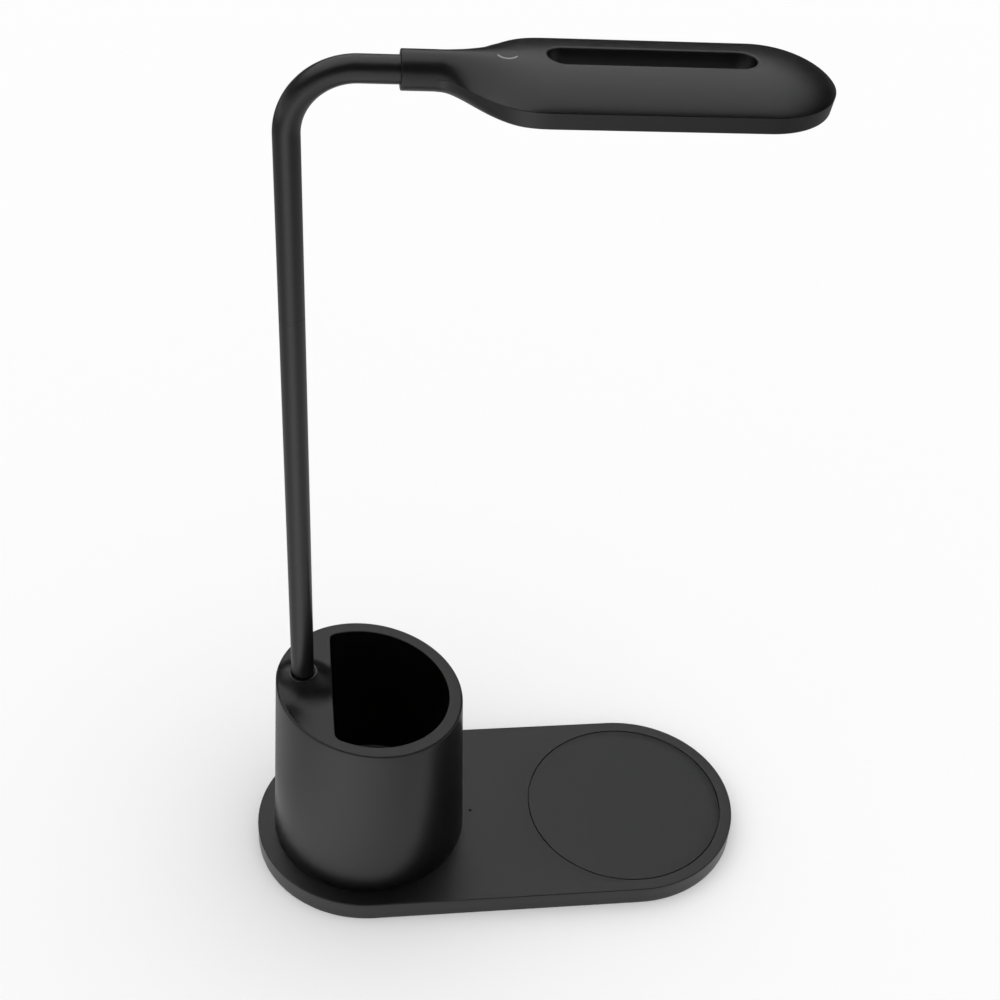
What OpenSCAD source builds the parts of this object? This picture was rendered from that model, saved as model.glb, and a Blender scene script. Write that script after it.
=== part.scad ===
// Desk lamp on a stadium-shaped base with a pen cup and a wireless charging pad.
// Origin: centre of the base on the desk. +X runs towards the charging end,
// +Y to the back, where the power inlet is, and +Z up.

/* [Base] */
// Length of the base
base_l = 181; // [176:1:190]
// Width of the base, which is also the diameter of its round ends
base_w = 83; // [81:1:88]
// Height of the base's top face above the desk
base_top_z = 7.6; // [7.5:0.1:9]
// Height of the underside above the desk, which the feet make up
foot_gap = 0.6; // [0.4:0.1:0.8]
// Side wall of the base shell
base_wall = 1.8; // [1.4:0.1:2.2]
// Thickness of the base shell's top
base_skin = 1.7; // [1.5:0.1:1.8]
// Radius of the base's top edge
base_edge = 0.4; // [0.4:0.1:1.2]
// Thickness of the bottom cover
cover_t = 1.6; // [1.4:0.1:1.7]
// Radius of a rubber foot
foot_r = 6; // [4:0.5:8]
// Depth of the seat of a foot in the cover
foot_seat = 0.5; // [0.3:0.1:0.8]

/* [Charging] */
// Radius of the round charging pad
pad_r = 36.7; // [33:0.1:37]
// Thickness of the charging pad
pad_t = 1.1; // [0.9:0.1:1.2]
// Width of the groove round the pad
pad_groove = 0.3; // [0.2:0.1:0.5]
// Outer radius of the charging coil
coil_r = 24; // [20:1:26]
// Inner radius of the charging coil
coil_hole_r = 10; // [8:1:12]
// Thickness of the charging coil
coil_t = 1.2; // [1:0.1:1.3]
// Thickness of the ferrite disc under the coil
ferrite_t = 0.9; // [0.6:0.1:1]
// Distance of the status light from the base's centre, towards the cup
light_x = 10.5; // [8:0.5:12]
// Radius of the status light
light_r = 0.6; // [0.5:0.1:0.8]
// Width of the power inlet's shell
usb_w = 8.94; // [8.8:0.02:9.1]
// Height of the power inlet's shell
usb_h = 3.2; // [3.1:0.02:3.26]
// Depth of the power inlet's shell
usb_d = 7.3; // [6.5:0.1:8]
// Distance of the power inlet from the base's centre, towards the cup
usb_x = 4; // [2:0.5:8]
// Wall of the power inlet's shell
usb_wall = 0.3; // [0.25:0.05:0.4]

/* [Pen cup] */
// Distance of the cup's centre from the centre of the base's round end, inwards
cup_in = 0.1; // [0:0.1:2]
// Radius of the cup where it stands on the base
cup_base_r = 35.35; // [34.5:0.05:36]
// Radius of the cup at its rim
cup_rim_r = 32.87; // [32.5:0.01:33.5]
// Height of the rim's centre above the desk
cup_h = 76.95; // [72:0.05:84]
// Slant of the rim, down towards the charging end
rim_slant = 8.8; // [6:0.1:11]
// Outer wall of the cup
cup_wall = 2.2; // [1.8:0.1:2.4]
// Radius of the pen pocket's round wall
pocket_r = 28.2; // [27:0.1:28.6]
// Distance of the pen pocket's flat wall from the cup's centre
pocket_flat = 13.1; // [12.5:0.1:13.4]
// Radius of the pen pocket's two corners
pocket_corner = 3.5; // [2.5:0.1:5]
// Height of the pen pocket's floor above the desk
pocket_floor_z = 16; // [13:0.5:22]
// Wall and floor of the pen pocket
pocket_wall = 1.7; // [1.4:0.1:1.9]
// Thickness of the cup's slanted deck
deck_t = 2.4; // [1.8:0.1:3.2]

/* [Boss] */
// Distance of the arm's axis from the cup's wall at its foot
boss_in = 12.15; // [11.75:0.05:12.45]
// Height of the boss's ring above the desk
boss_top_z = 86.5; // [85:0.1:90]
// Outer radius of the boss's ring
boss_ring_r = 5.1; // [4.9:0.1:5.6]
// Radius of the boss's flare where it meets the deck
boss_foot_r = 9.1; // [7.5:0.1:9.4]
// Height of the flare over the deck, measured to the ring
boss_flare_h = 6.4; // [5:0.1:8]
// Height of the shelf that carries the arm above the desk
shelf_z = 72; // [70:0.5:73]
// Thickness of the shelf that carries the arm
shelf_t = 4; // [3:0.5:5]

/* [Arm] */
// Outer radius of the arm's soft sleeve
sleeve_r = 3.9; // [3.7:0.05:3.9]
// Radius of the steel gooseneck core
core_r = 2.5; // [2.2:0.05:2.5]
// Gap between the core and the sleeve
core_clear = 0.3; // [0.2:0.05:0.4]
// Height of the elbow's centre above the desk
elbow_z = 291.8; // [270:0.1:310]
// Radius of the elbow's bend
elbow_r = 19; // [18:0.5:24]
// Straight length between the elbow and the head's neck
run_l = 11; // [10:0.5:14]
// Height of the first bend over the boss
first_bend = 18.5; // [16:0.5:24]
// Distance of the last stem bend below the elbow
last_bend = 26.8; // [22:0.1:32]
// Angle along the elbow of the first nod bend
nod_1_at = 30; // [24:1:36]
// Angle along the elbow of the second nod bend
nod_2_at = 78; // [72:1:82]
// Distance of the swing bend past the elbow
swing_at = 5; // [4:0.1:6]
// Bend of each stem joint, either way
stem_bend = 15; // [10:1:15]
// Bend of each joint at the elbow, either way
elbow_bend = 20; // [10:1:20]

/* [Lamp head] */
// Droop of the head below the horizontal
head_drop = 1.66; // [0:0.01:5]
// Length of the head with its neck
head_l = 119.5; // [112:0.1:130]
// Width of the head
head_w = 43.6; // [40:0.1:48]
// Radius of the round neck
neck_r = 5.5; // [5.3:0.1:6.5]
// Where the neck starts to flare, from its end
flare_from = 10; // [9.5:0.5:12]
// Where the flare reaches the full width
flare_to = 41; // [39:0.5:41]
// Drop of the seam below the neck's axis
seam_drop = 0.75; // [0.5:0.05:1.2]
// Height of the side band
band_h = 5.2; // [4.8:0.05:7]
// Inward lean of the side band over its height
band_lean = 0.55; // [0.3:0.05:0.8]
// Wall of the head's two shells
head_wall = 1.8; // [1.5:0.1:1.9]
// Floor of the lower frame
frame_floor = 1.5; // [1.3:0.1:1.8]
// Width of the slot
slot_w = 9.8; // [9:0.2:11]
// Length of the slot
slot_l = 57.4; // [52:0.2:58]
// Distance of the slot's near end from the neck's end
slot_at = 39.2; // [38.4:0.2:41]
// Wall round the slot
slot_wall = 1.6; // [1.3:0.1:1.8]
// Width of the frame's rim outside the diffuser
rim_w = 2.7; // [2.4:0.1:3.2]
// Distance of the touch control from the neck's end
touch_at = 28.3; // [27.5:0.1:30]
// Radius of the touch control's ring
touch_r = 3; // [2.6:0.1:3.4]

/* [Hidden] */
$fn = 64;

charcoal = "#3d3d3f";
black = "#1c1c1d";
steel = "#a9abad";

// How far a cut runs past a face
over = 1;
// How far a post reaches into the wall that carries it
root = 0.3;
// Clearance of parts that lie loose in a seat
fit = 0.15;
// Clearance of parts that are pressed or screwed into a seat
snug = 0.1;

// Base, worked out
base_r = base_w / 2;
base_half = base_l / 2 - base_r;
ceiling_z = base_top_z - base_skin;
cover_top_z = foot_gap + cover_t;
cavity_r = base_r - base_wall;
cover_r = cavity_r - fit;
base_under_edge = 0.3;
cover_post_r = 2.9;
end_post_angle = 46;
base_pilot_r = 0.85;
base_screw_r = 1;
base_screw_head_r = 1.9;
base_screw_head_h = 0.9;
// Places of the six cover screws: two by each round end, two in the middle
post_ring_r = cavity_r - cover_post_r;
end_post = [base_half + post_ring_r * cos(end_post_angle), post_ring_r * sin(end_post_angle)];
mid_post_off = 2;
mid_post_x = -usb_x - mid_post_off;
cover_posts = [for (sy = [-1, 1], sx = [-1, 0, 1])
               sx == 0 ? [mid_post_x, sy * post_ring_r - (sy > 0 ? usb_d : 0)]
                       : [sx * end_post[0], sy * end_post[1]]];
foot_out = 8;
foot_side = 24.5;
foot_places = [for (sx = [-1, 1], sy = [-1, 1]) [sx * (base_half + foot_out), sy * foot_side]];
ballast_edge = 1;
ballast_clear = 0.4;
ballast_lead_r = 4;
lead_hole_r = 3;

// Charging parts, worked out
pad_x = base_half;
pad_seat_r = pad_r + pad_groove;
pad_seat_z = base_top_z - pad_t;
coil_window = 1.5;
coil_window_r = coil_r + coil_window;
coil_top_z = pad_seat_z - snug;
ferrite_edge = 0.8;
ferrite_r = coil_r + ferrite_edge;
board_t = 0.8;
board_lift = 0.4;
board_z = cover_top_z + board_lift;
board_top_z = board_z + board_t;
board_left = 15.5;
board_right = 17;
board_front = 4;
board_back = 1.2;
board_x0 = -usb_x - board_left;
board_x1 = -usb_x + board_right;
board_y0 = -board_front;
board_y1 = cavity_r - board_back;
stand_off_r = 1.6;
stand_off_in = 2;
stand_off_back = 5;
stand_off_back_y = board_y1 - usb_d - stand_off_back;
usb_z = cover_top_z + fit + usb_h / 2;
usb_back = 1;
usb_tongue = [6.6, 0.7];
light_flange = 0.6;
light_flange_r = light_r + light_flange;
light_led = [1.6, 0.8, 0.5];
light_under_z = board_top_z + light_led[2] + snug;
// Places and sizes of the blocks on the board, from the inlet's middle and the board's face
driver_at = [4, 6];
driver_chip = [5, 5, 0.9];
choke_at = [-12, 8];
choke_block = [4, 4, 1.8];
caps_at = [12, 4];
cap_block = [1.6, 3.2, 1.2];
cap_pitch = 4.5;
pads_at = [-2, 16];
pad_block = [1.3, 2, 0.8];
pad_pitch = 3.4;
chip_blocks = concat([[driver_at, driver_chip], [choke_at, choke_block]],
                     [for (i = [0:3]) [caps_at + [0, i * cap_pitch], cap_block]],
                     [for (i = [0:2]) [pads_at + [i * pad_pitch, 0], pad_block]]);

// Cup, worked out
cup_x = cup_in - base_half;
cup_slope = tan(rim_slant);
cup_draft = (cup_base_r - cup_rim_r) / (cup_h - base_top_z);
cup_tall = cup_h + cup_slope * cup_base_r + 2 * over - base_top_z;
cup_screw_ring = 24;
cup_screw_r = 1.4;
cup_screw_head_r = 2.6;
cup_screw_head_h = 1.4;
cup_post_r = 3.4;
cup_screws_at = [for (a = [0, 120, 240]) [cup_x + cup_screw_ring * cos(a), cup_screw_ring * sin(a)]];
pocket_under_z = pocket_floor_z - pocket_wall;

// Boss, worked out
boss_off = cup_base_r - boss_in;
arm_x = cup_x - boss_off;
bore_r = sleeve_r + 0.2;
ferrule_r = bore_r - snug;
ferrule_bore_r = core_r + 0.05;
cable_r = 1.8;
thread_r = 3.4;
thread_clear = 0.05;
sleeve_seat = 2;
deck_z_at_boss = cup_h + cup_slope * boss_off;
boss_lip = 0.5;
boss_root = 5;
boss_block_r = 8.5;
washer_t = 1;
washer_r = 6.5;
nut_h = 4;
nut_af = 11;
thread_past_nut = 1.5;
thread_end_z = shelf_z - shelf_t - washer_t - nut_h - thread_past_nut;

// Arm path: distance s is 0 at the boss's ring and grows along the arm
stem_end = elbow_z - boss_top_z;
elbow_sweep = 90 + head_drop;
elbow_len = elbow_r * elbow_sweep * PI / 180;
elbow_end = stem_end + elbow_len;
run_end = elbow_end + run_l;
stem_pitch = (stem_end - first_bend - last_bend) / 5;
stem_bends = 6;
neck_seat = 1.5;
bends = [for (i = [0:5]) first_bend + i * stem_pitch,
         stem_end + elbow_r * nod_1_at * PI / 180,
         stem_end + elbow_r * nod_2_at * PI / 180,
         elbow_end + swing_at];
bend_gap_play = 0.35;
function bend_gap(i) = 2 * core_r * tan((i < stem_bends ? stem_bend : elbow_bend) / 2) + bend_gap_play;
// The sleeve's pieces meet half way between two bends, and at both ends of the elbow
sleeve_ends = [-sleeve_seat, for (i = [0:stem_bends - 2]) (bends[i] + bends[i + 1]) / 2,
               stem_end, (bends[6] + bends[7]) / 2, elbow_end, run_end + neck_seat];
sleeve_hole_r = core_r + core_clear;
// Ball inside a core piece, where its straight length and its bend run into one another
core_joint_r = core_r / 2;
neck_end = [arm_x + elbow_r + elbow_r * sin(head_drop) + run_l * cos(head_drop), 0,
            elbow_z + elbow_r * cos(head_drop) - run_l * sin(head_drop)];

// Head, worked out. Its own frame has the neck's end at 0 and +X towards the tip.
head_half = head_w / 2;
nose_at = head_l - head_half;
body_seam = -seam_drop;
body_under = -seam_drop - band_h;
crown_h = neck_r + seam_drop;
crown_pow = 0.68;
shoulder_pow = 0.87;
shoulder_at = 23;
shoulder_len = 8;
flare_pow = 1.63;
// Lengths over which the neck's round section goes over into the body's
seam_len = 12;
under_len = 14;
under_round_len = 22;
lean_len = 20;
crown_len = 8;
frame_from = flare_from - 0.5;
cavity_from = 22;
ferrule_from = 1.8;
ferrule_to = 18;
neck_bore_to = 23;
flare_round = 0.6;
slot_r = slot_w / 2;
slot_c0 = slot_at + slot_r;
slot_c1 = slot_at + slot_l - slot_r;
slot_wall_r = slot_r + slot_wall;
slot_wall_top = neck_r - 0.7;
glow_r = head_half - band_lean - rim_w;
diffuser_z = body_under + frame_floor;
diffuser_flange = 0.8;
flange_w = 0.5;
led_board_t = 1;
led_board_top = -0.6;
led_board_clear = 0.4;
led_row_turns = [-60, -20, 20, 60];
led_chip = [3, 2, 0.7];
led_row_r = 10.5;
led_pitch = 5.9;
post_y = 15.5;
post_in = 7;
head_post_r = 2.3;
head_pilot_r = 0.7;
head_screw_r = 0.8;
head_screw_short = 0.3;
head_screw_head_r = 1.5;
head_screw_head_h = 1;
head_posts = [for (u = [slot_c0 + post_in, slot_c1 - post_in], s = [-1, 1]) [u, s * post_y]];
touch_depth = 0.65;
touch_sink = 0.2;
touch_shift = 0.75;
touch_clear = 0.05;
touch_sensor_r = touch_r + 1;
touch_sensor_t = 0.8;
touch_sensor_z = neck_r - head_wall - 1.2;

// Height of the crown's outside at distance y from the middle of the straight body
function crown_z(y) = body_seam + crown_h * pow(1 - pow(y / head_half, 2), crown_pow);
head_post_top = crown_z(post_y + head_post_r) - 0.4;
head_pilot_top = head_post_top - 0.5;

// Smooth step from 0 to 1 while t goes from 0 to 1
function ease(t) = let (k = min(max(t, 0), 1)) k * k * (3 - 2 * k);
function mix(a, b, t) = a + (b - a) * t;
// Points of a quarter turn of radius r about c, from angle a0
function arc(c, r, a0, n = 5) = [for (i = [0:n]) c + r * [cos(a0 + 90 * i / n), sin(a0 + 90 * i / n)]];

// Half width of the head at distance u from the neck's end
function flare_t(u) = min(max((u - flare_from) / (flare_to - flare_from), 0), 1);
function head_half_at(u) = neck_r + (head_half - neck_r) * ease(1 - pow(1 - flare_t(u), flare_pow));
// Height of the seam, of the underside and of the crown, and the roundness of the under edge
function seam_at(u) = mix(0, body_seam, ease((u - frame_from) / seam_len));
function under_at(u) = mix(-neck_r, body_under, ease((u - frame_from) / under_len));
function under_round(u) = mix(neck_r, flare_round, ease((u - frame_from) / under_round_len));
function lean_at(u) = band_lean * ease((u - frame_from) / lean_len);
// Shape of the crown: 0.5 is a circle, and more than 1 leaves a hollow shoulder
function pow_at(u) = mix(0.5, crown_pow + shoulder_pow * exp(-pow((u - shoulder_at) / shoulder_len, 2)),
                         ease((u - frame_from) / crown_len));

// Upper section at u, inset by a wall, as points from the +Y seam over the crown
function crown_section(u, inset, n, below) =
    let (w = head_half_at(u) - inset, s = seam_at(u), h = neck_r - s - inset, p = pow_at(u))
    concat(below > 0 ? [[w, s - below]] : [],
           [for (i = [0:n]) let (a = 180 * i / n) [w * cos(a), s + h * pow(sin(a), 2 * p)]],
           below > 0 ? [[-w, s - below]] : []);
// Lower section at u as points from the -Y seam round the underside
function frame_section(u, inset, floor_inset, n, above) =
    let (w = head_half_at(u) - inset, s = seam_at(u) + above, wb = w - lean_at(u),
         z = under_at(u) + floor_inset, r = min(max(under_round(u) - inset, 0.3), s - z - 0.2, wb - 0.2))
    concat([[-w, s]],
           [for (i = [0:n]) let (a = 180 + 90 * i / n) [-wb + r + r * cos(a), z + r + r * sin(a)]],
           [for (i = [0:n]) let (a = 270 + 90 * i / n) [wb - r + r * cos(a), z + r + r * sin(a)]],
           [[w, s]]);

// ---------- helpers ----------

// Solid with two round ends of radius r, whose centres are half off the middle
module stadium(half, r, h) {
    for (s = [-1, 1]) translate([s * half, 0, 0]) cylinder(r = r, h = h);
    translate([-half, -r, 0]) cube([2 * half, 2 * r, h]);
}

// The same between two centres on the X axis
module stadium_between(x0, x1, r, z0, z1) {
    translate([(x0 + x1) / 2, 0, z0]) stadium((x1 - x0) / 2, r, z1 - z0);
}

module ring(ro, ri, h) {
    difference() {
        cylinder(r = ro, h = h);
        if (ri > 0) translate([0, 0, -over]) cylinder(r = ri, h = h + 2 * over);
    }
}

// Skin over sections that each lie in a plane across X: sections[i] holds Y and Z points
module loft(us, sections) {
    n = len(sections[0]);
    m = len(us);
    points = [for (i = [0:m - 1]) for (p = sections[i]) [us[i], p[0], p[1]]];
    sides = [for (i = [0:m - 2]) for (j = [0:n - 1])
             let (a = i * n + j, b = i * n + (j + 1) % n) each [[a, a + n, b], [b, a + n, b + n]]];
    caps = [[for (j = [0:n - 1]) j], [for (j = [n - 1:-1:0]) (m - 1) * n + j]];
    polyhedron(points, concat(sides, caps), convexity = 6);
}

// Straight body and round nose of the head from one section, given as its +Y half
module body_and_nose(section) {
    whole = concat(section, [for (i = [len(section) - 1:-1:0]) if (section[i][0] > 0.001)
                             [-section[i][0], section[i][1]]]);
    translate([flare_to, 0, 0]) rotate([90, 0, 90]) linear_extrude(nose_at - flare_to) polygon(whole);
    translate([nose_at, 0, 0]) rotate([0, 0, -90]) rotate_extrude(angle = 180) polygon(section);
}

// Moves what belongs to the head from its own frame to its place
module at_head() {
    translate(neck_end) rotate([0, head_drop, 0]) children();
}

module along_neck() {
    rotate([0, 90, 0]) children();
}

// Tube along the arm's path from s0 to s1, or a rod where its inner radius is 0
module path_tube(s0, s1, ro, ri) {
    if (s0 < stem_end)
        translate([arm_x, 0, boss_top_z + s0]) ring(ro, ri, min(s1, stem_end) - s0);
    if (s1 > stem_end && s0 < elbow_end) {
        a0 = max(s0 - stem_end, 0) / elbow_r * 180 / PI;
        a1 = (min(s1, elbow_end) - stem_end) / elbow_r * 180 / PI;
        translate([arm_x + elbow_r, 0, elbow_z]) rotate([90, 0, 0]) rotate([0, 0, 180 - a1])
            rotate_extrude(angle = a1 - a0) translate([elbow_r, 0]) difference() {
                circle(r = ro);
                if (ri > 0) circle(r = ri);
            }
    }
    if (s1 > elbow_end)
        at_head() translate([max(s0, elbow_end) - run_end, 0, 0]) along_neck()
            ring(ro, ri, s1 - max(s0, elbow_end));
}

module pan_screw(r, head_r, head_h, l) {
    cylinder(r = head_r, h = head_h);
    cylinder(r = r, h = l);
}

// ---------- base ----------

module base_outline_solid() {
    top = arc([base_r - base_edge, base_top_z - base_edge], base_edge, 0);
    half = concat([[0, foot_gap], [base_r - base_under_edge, foot_gap], [base_r, foot_gap + base_under_edge]],
                  top, [[0, base_top_z]]);
    whole = concat([for (p = half) if (p[0] > 0) p],
                   [for (i = [len(half) - 1:-1:0]) if (half[i][0] > 0) [-half[i][0], half[i][1]]]);
    for (s = [-1, 1]) translate([s * base_half, 0, 0]) rotate_extrude($fn = 96) polygon(half);
    translate([-base_half, 0, 0]) rotate([90, 0, 90]) linear_extrude(2 * base_half) polygon(whole);
}

module usb_outline(grow) {
    r = usb_h / 2 + grow;
    for (s = [-1, 1]) translate([s * (usb_w - usb_h) / 2, 0]) circle(r = r, $fn = 32);
    square([usb_w - usb_h, 2 * r], center = true);
}

module base_top_shell() {
    color(charcoal) difference() {
        union() {
            difference() {
                base_outline_solid();
                translate([0, 0, foot_gap - over]) stadium(base_half, cavity_r, ceiling_z - foot_gap + over);
            }
            for (p = cover_posts) translate([p[0], p[1], cover_top_z])
                cylinder(r = cover_post_r, h = ceiling_z - cover_top_z + root);
        }
        translate([pad_x, 0, pad_seat_z]) cylinder(r = pad_seat_r, h = pad_t + over, $fn = 96);
        translate([pad_x, 0, cover_top_z]) cylinder(r = coil_window_r, h = base_top_z);
        translate([-light_x, 0, cover_top_z]) cylinder(r = light_r + snug, h = base_top_z, $fn = 32);
        translate([-usb_x, cavity_r - over, usb_z]) rotate([-90, 0, 0])
            linear_extrude(base_wall + 2 * over) usb_outline(fit);
        for (p = cover_posts) translate([p[0], p[1], cover_top_z - over])
            cylinder(r = base_pilot_r, h = ceiling_z - cover_top_z + over, $fn = 24);
        for (p = cup_screws_at) translate([p[0], p[1], ceiling_z - over])
            cylinder(r = cup_screw_r + fit, h = base_skin + 2 * over, $fn = 32);
        translate([arm_x, 0, ceiling_z - over]) cylinder(r = lead_hole_r, h = base_skin + 2 * over, $fn = 32);
    }
}

module base_bottom_cover() {
    color(black) difference() {
        union() {
            translate([0, 0, foot_gap]) stadium(base_half, cover_r, cover_t);
            for (x = [board_x0 + stand_off_in, board_x1 - stand_off_in],
                 y = [board_y0 + stand_off_in, stand_off_back_y])
                translate([x, y, cover_top_z - root])
                    cylinder(r = stand_off_r, h = board_lift + root, $fn = 24);
        }
        for (p = foot_places) translate([p[0], p[1], foot_gap - over])
            cylinder(r = foot_r + fit, h = foot_seat + over);
        for (p = cover_posts) translate([p[0], p[1], 0]) {
            cylinder(r = base_screw_r + fit, h = cover_top_z + over, $fn = 24);
            cylinder(r = base_screw_head_r + fit, h = foot_gap + base_screw_head_h, $fn = 24);
        }
    }
}

module rubber_feet() {
    color("#2a2a2a") for (p = foot_places) translate([p[0], p[1], 0])
        cylinder(r = foot_r, h = foot_gap + foot_seat);
}

module cover_screws() {
    color(steel) for (p = cover_posts) translate([p[0], p[1], foot_gap])
        pan_screw(base_pilot_r, base_screw_head_r, base_screw_head_h,
                  ceiling_z - foot_gap - root, $fn = 24);
}

module ballast_plate() {
    color("#8b8d90") difference() {
        translate([0, 0, cover_top_z]) intersection() {
            stadium(base_half, cavity_r - ballast_edge, ceiling_z - cover_top_z - ballast_clear);
            translate([-base_l, -base_w, 0])
                cube([base_l + board_x0 - 2 * ballast_edge, 2 * base_w, base_top_z]);
        }
        for (p = cup_screws_at) translate([p[0], p[1], 0])
            cylinder(r = cup_screw_head_r + ballast_edge, h = base_top_z);
        for (p = cover_posts) translate([p[0], p[1], 0])
            cylinder(r = cover_post_r + ballast_clear, h = base_top_z);
        translate([arm_x, 0, 0]) cylinder(r = ballast_lead_r, h = base_top_z);
    }
}

module charge_pad() {
    color("#38383a") translate([pad_x, 0, pad_seat_z]) cylinder(r = pad_r, h = pad_t, $fn = 96);
}

module charge_coil() {
    color("#b06a3b") translate([pad_x, 0, coil_top_z - coil_t]) ring(coil_r, coil_hole_r, coil_t);
}

module coil_ferrite() {
    color("#4a4a4a") translate([pad_x, 0, coil_top_z - coil_t - ferrite_t])
        cylinder(r = ferrite_r, h = ferrite_t);
}

module charger_board() {
    color("#1d5c38") difference() {
        translate([board_x0, board_y0, board_z]) cube([board_x1 - board_x0, board_y1 - board_y0, board_t]);
        translate([-usb_x - usb_w / 2 - snug, base_r - usb_d - snug, board_z - over])
            cube([usb_w + 2 * snug, usb_d, board_t + 2 * over]);
        for (p = cover_posts) translate([p[0], p[1], board_z - over])
            cylinder(r = cover_post_r + 2 * fit, h = board_t + 2 * over);
    }
}

module board_parts() {
    color("#2b2b2b") translate([0, 0, board_top_z]) {
        translate([-light_x - light_led[0] / 2, -light_led[1] / 2, 0]) cube(light_led);
        for (b = chip_blocks) translate([b[0][0] - usb_x, b[0][1], 0]) cube(b[1]);
    }
}

module usb_socket() {
    color(steel) translate([-usb_x, base_r, usb_z]) rotate([90, 0, 0]) {
        difference() {
            linear_extrude(usb_d) usb_outline(0);
            translate([0, 0, -over]) linear_extrude(usb_d - usb_back + over) usb_outline(-usb_wall);
        }
        translate([-usb_tongue[0] / 2, -usb_tongue[1] / 2, usb_back])
            cube([usb_tongue[0], usb_tongue[1], usb_d - 1.5 * usb_back]);
    }
}

module indicator_lens() {
    color("#dfe6ea") translate([-light_x, 0, 0]) {
        translate([0, 0, light_under_z]) cylinder(r = light_r, h = base_top_z - light_under_z, $fn = 32);
        translate([0, 0, light_under_z])
            cylinder(r = light_flange_r, h = ceiling_z - light_under_z, $fn = 32);
    }
}

// ---------- pen cup ----------

// Solid of the cup's outside or of a wall inside it, cut off along the slanted rim
module cup_cone(inset, lower) {
    difference() {
        translate([cup_x, 0, base_top_z])
            cylinder(r1 = cup_base_r - inset, r2 = cup_base_r - inset - cup_draft * cup_tall, h = cup_tall,
                     $fn = 128);
        translate([cup_x, 0, cup_h - lower]) rotate([0, rim_slant, 0])
            translate([-cup_base_r * 2, -cup_base_r * 2, 0])
                cube([cup_base_r * 4, cup_base_r * 4, cup_base_r * 2]);
    }
}

// Outline of the pen pocket about the cup's centre: a circle with one flat side and two round corners
module pocket_outline(grow) {
    r = pocket_r + grow;
    c = pocket_corner + grow;
    cx = -pocket_flat + pocket_corner;
    cy = sqrt(pow(pocket_r - pocket_corner, 2) - cx * cx);
    reach = r / (pocket_r - pocket_corner);
    tip = [cx * reach, cy * reach];
    difference() {
        circle(r = r, $fn = 128);
        polygon([[0, 0], 2 * tip, [-3 * r, cy], [-3 * r, -cy], [2 * tip[0], -2 * tip[1]]]);
    }
    polygon([[pocket_flat, 0], tip, [cx, cy], [-pocket_flat - grow, cy], [-pocket_flat - grow, -cy],
             [cx, -cy], [tip[0], -tip[1]]]);
    for (s = [-1, 1]) translate([cx, s * cy]) circle(r = c, $fn = 48);
}

// Concave flare that rises from the deck to the ring of the boss
module boss_flare() {
    n = 8;
    z0 = deck_z_at_boss - boss_root;
    curve = [for (i = [0:n]) let (a = 90 * i / n)
             [boss_foot_r - (boss_foot_r - boss_ring_r) * cos(a),
              boss_top_z - boss_lip - boss_flare_h * sin(a)]];
    translate([arm_x, 0, 0]) rotate_extrude() polygon(concat(
        [[0, boss_top_z], [boss_ring_r, boss_top_z]], curve, [[boss_foot_r, z0], [0, z0]]));
}

module cup_hollow() {
    difference() {
        cup_cone(cup_wall, deck_t);
        translate([cup_x, 0, pocket_under_z]) linear_extrude(cup_tall) pocket_outline(pocket_wall);
        translate([arm_x, 0, shelf_z - shelf_t]) cylinder(r = boss_block_r, h = cup_tall);
        for (p = cup_screws_at) translate([p[0], p[1], 0]) cylinder(r = cup_post_r, h = cup_tall);
    }
}

module cup_shell() {
    color(charcoal) difference() {
        union() {
            cup_cone(0, 0);
            boss_flare();
        }
        cup_hollow();
        translate([cup_x, 0, pocket_floor_z]) linear_extrude(cup_tall) pocket_outline(0);
        translate([arm_x, 0, shelf_z]) cylinder(r = bore_r, h = cup_tall);
        translate([arm_x, 0, shelf_z - shelf_t - over]) cylinder(r = thread_r + snug, h = shelf_t + 2 * over);
        for (p = cup_screws_at) translate([p[0], p[1], base_top_z - over])
            cylinder(r = cup_screw_r, h = pocket_under_z - base_top_z + over, $fn = 32);
    }
}

module cup_screws() {
    color(steel) for (p = cup_screws_at) translate([p[0], p[1], ceiling_z - cup_screw_head_h])
        pan_screw(cup_screw_r, cup_screw_head_r, cup_screw_head_h,
                  pocket_under_z - ceiling_z + cup_screw_head_h - root, $fn = 32);
}

// ---------- arm ----------

module arm_lower_ferrule() {
    top_z = boss_top_z - sleeve_seat - snug;
    color(steel) translate([arm_x, 0, 0]) difference() {
        union() {
            translate([0, 0, shelf_z]) cylinder(r = ferrule_r, h = top_z - shelf_z);
            translate([0, 0, thread_end_z]) cylinder(r = thread_r, h = shelf_z - thread_end_z + over);
        }
        translate([0, 0, shelf_z + over]) cylinder(r = ferrule_bore_r, h = top_z);
        translate([0, 0, thread_end_z - over]) cylinder(r = cable_r, h = top_z);
    }
}

module arm_washer() {
    color(steel) translate([arm_x, 0, shelf_z - shelf_t - washer_t])
        ring(washer_r, thread_r + snug, washer_t);
}

module arm_nut() {
    color(steel) translate([arm_x, 0, shelf_z - shelf_t - washer_t - nut_h]) difference() {
        cylinder(d = nut_af / cos(30), h = nut_h, $fn = 6);
        translate([0, 0, -over]) cylinder(r = thread_r + thread_clear, h = nut_h + 2 * over);
    }
}

// Core pieces run from bend to bend. The first starts in the lower ferrule, the last ends in the upper one.
module core_piece(i) {
    s0 = i == 0 ? shelf_z + over - boss_top_z : bends[i - 1] + bend_gap(i - 1) / 2;
    s1 = i == 9 ? run_end + ferrule_to - neck_seat : bends[i] - bend_gap(i) / 2;
    color("#6f7275") {
        path_tube(s0, s1, core_r, 0);
        if (s0 < stem_end && s1 > stem_end) translate([arm_x, 0, elbow_z]) sphere(r = core_joint_r);
        if (s0 < elbow_end && s1 > elbow_end)
            at_head() translate([-run_l, 0, 0]) sphere(r = core_joint_r);
    }
}

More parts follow.
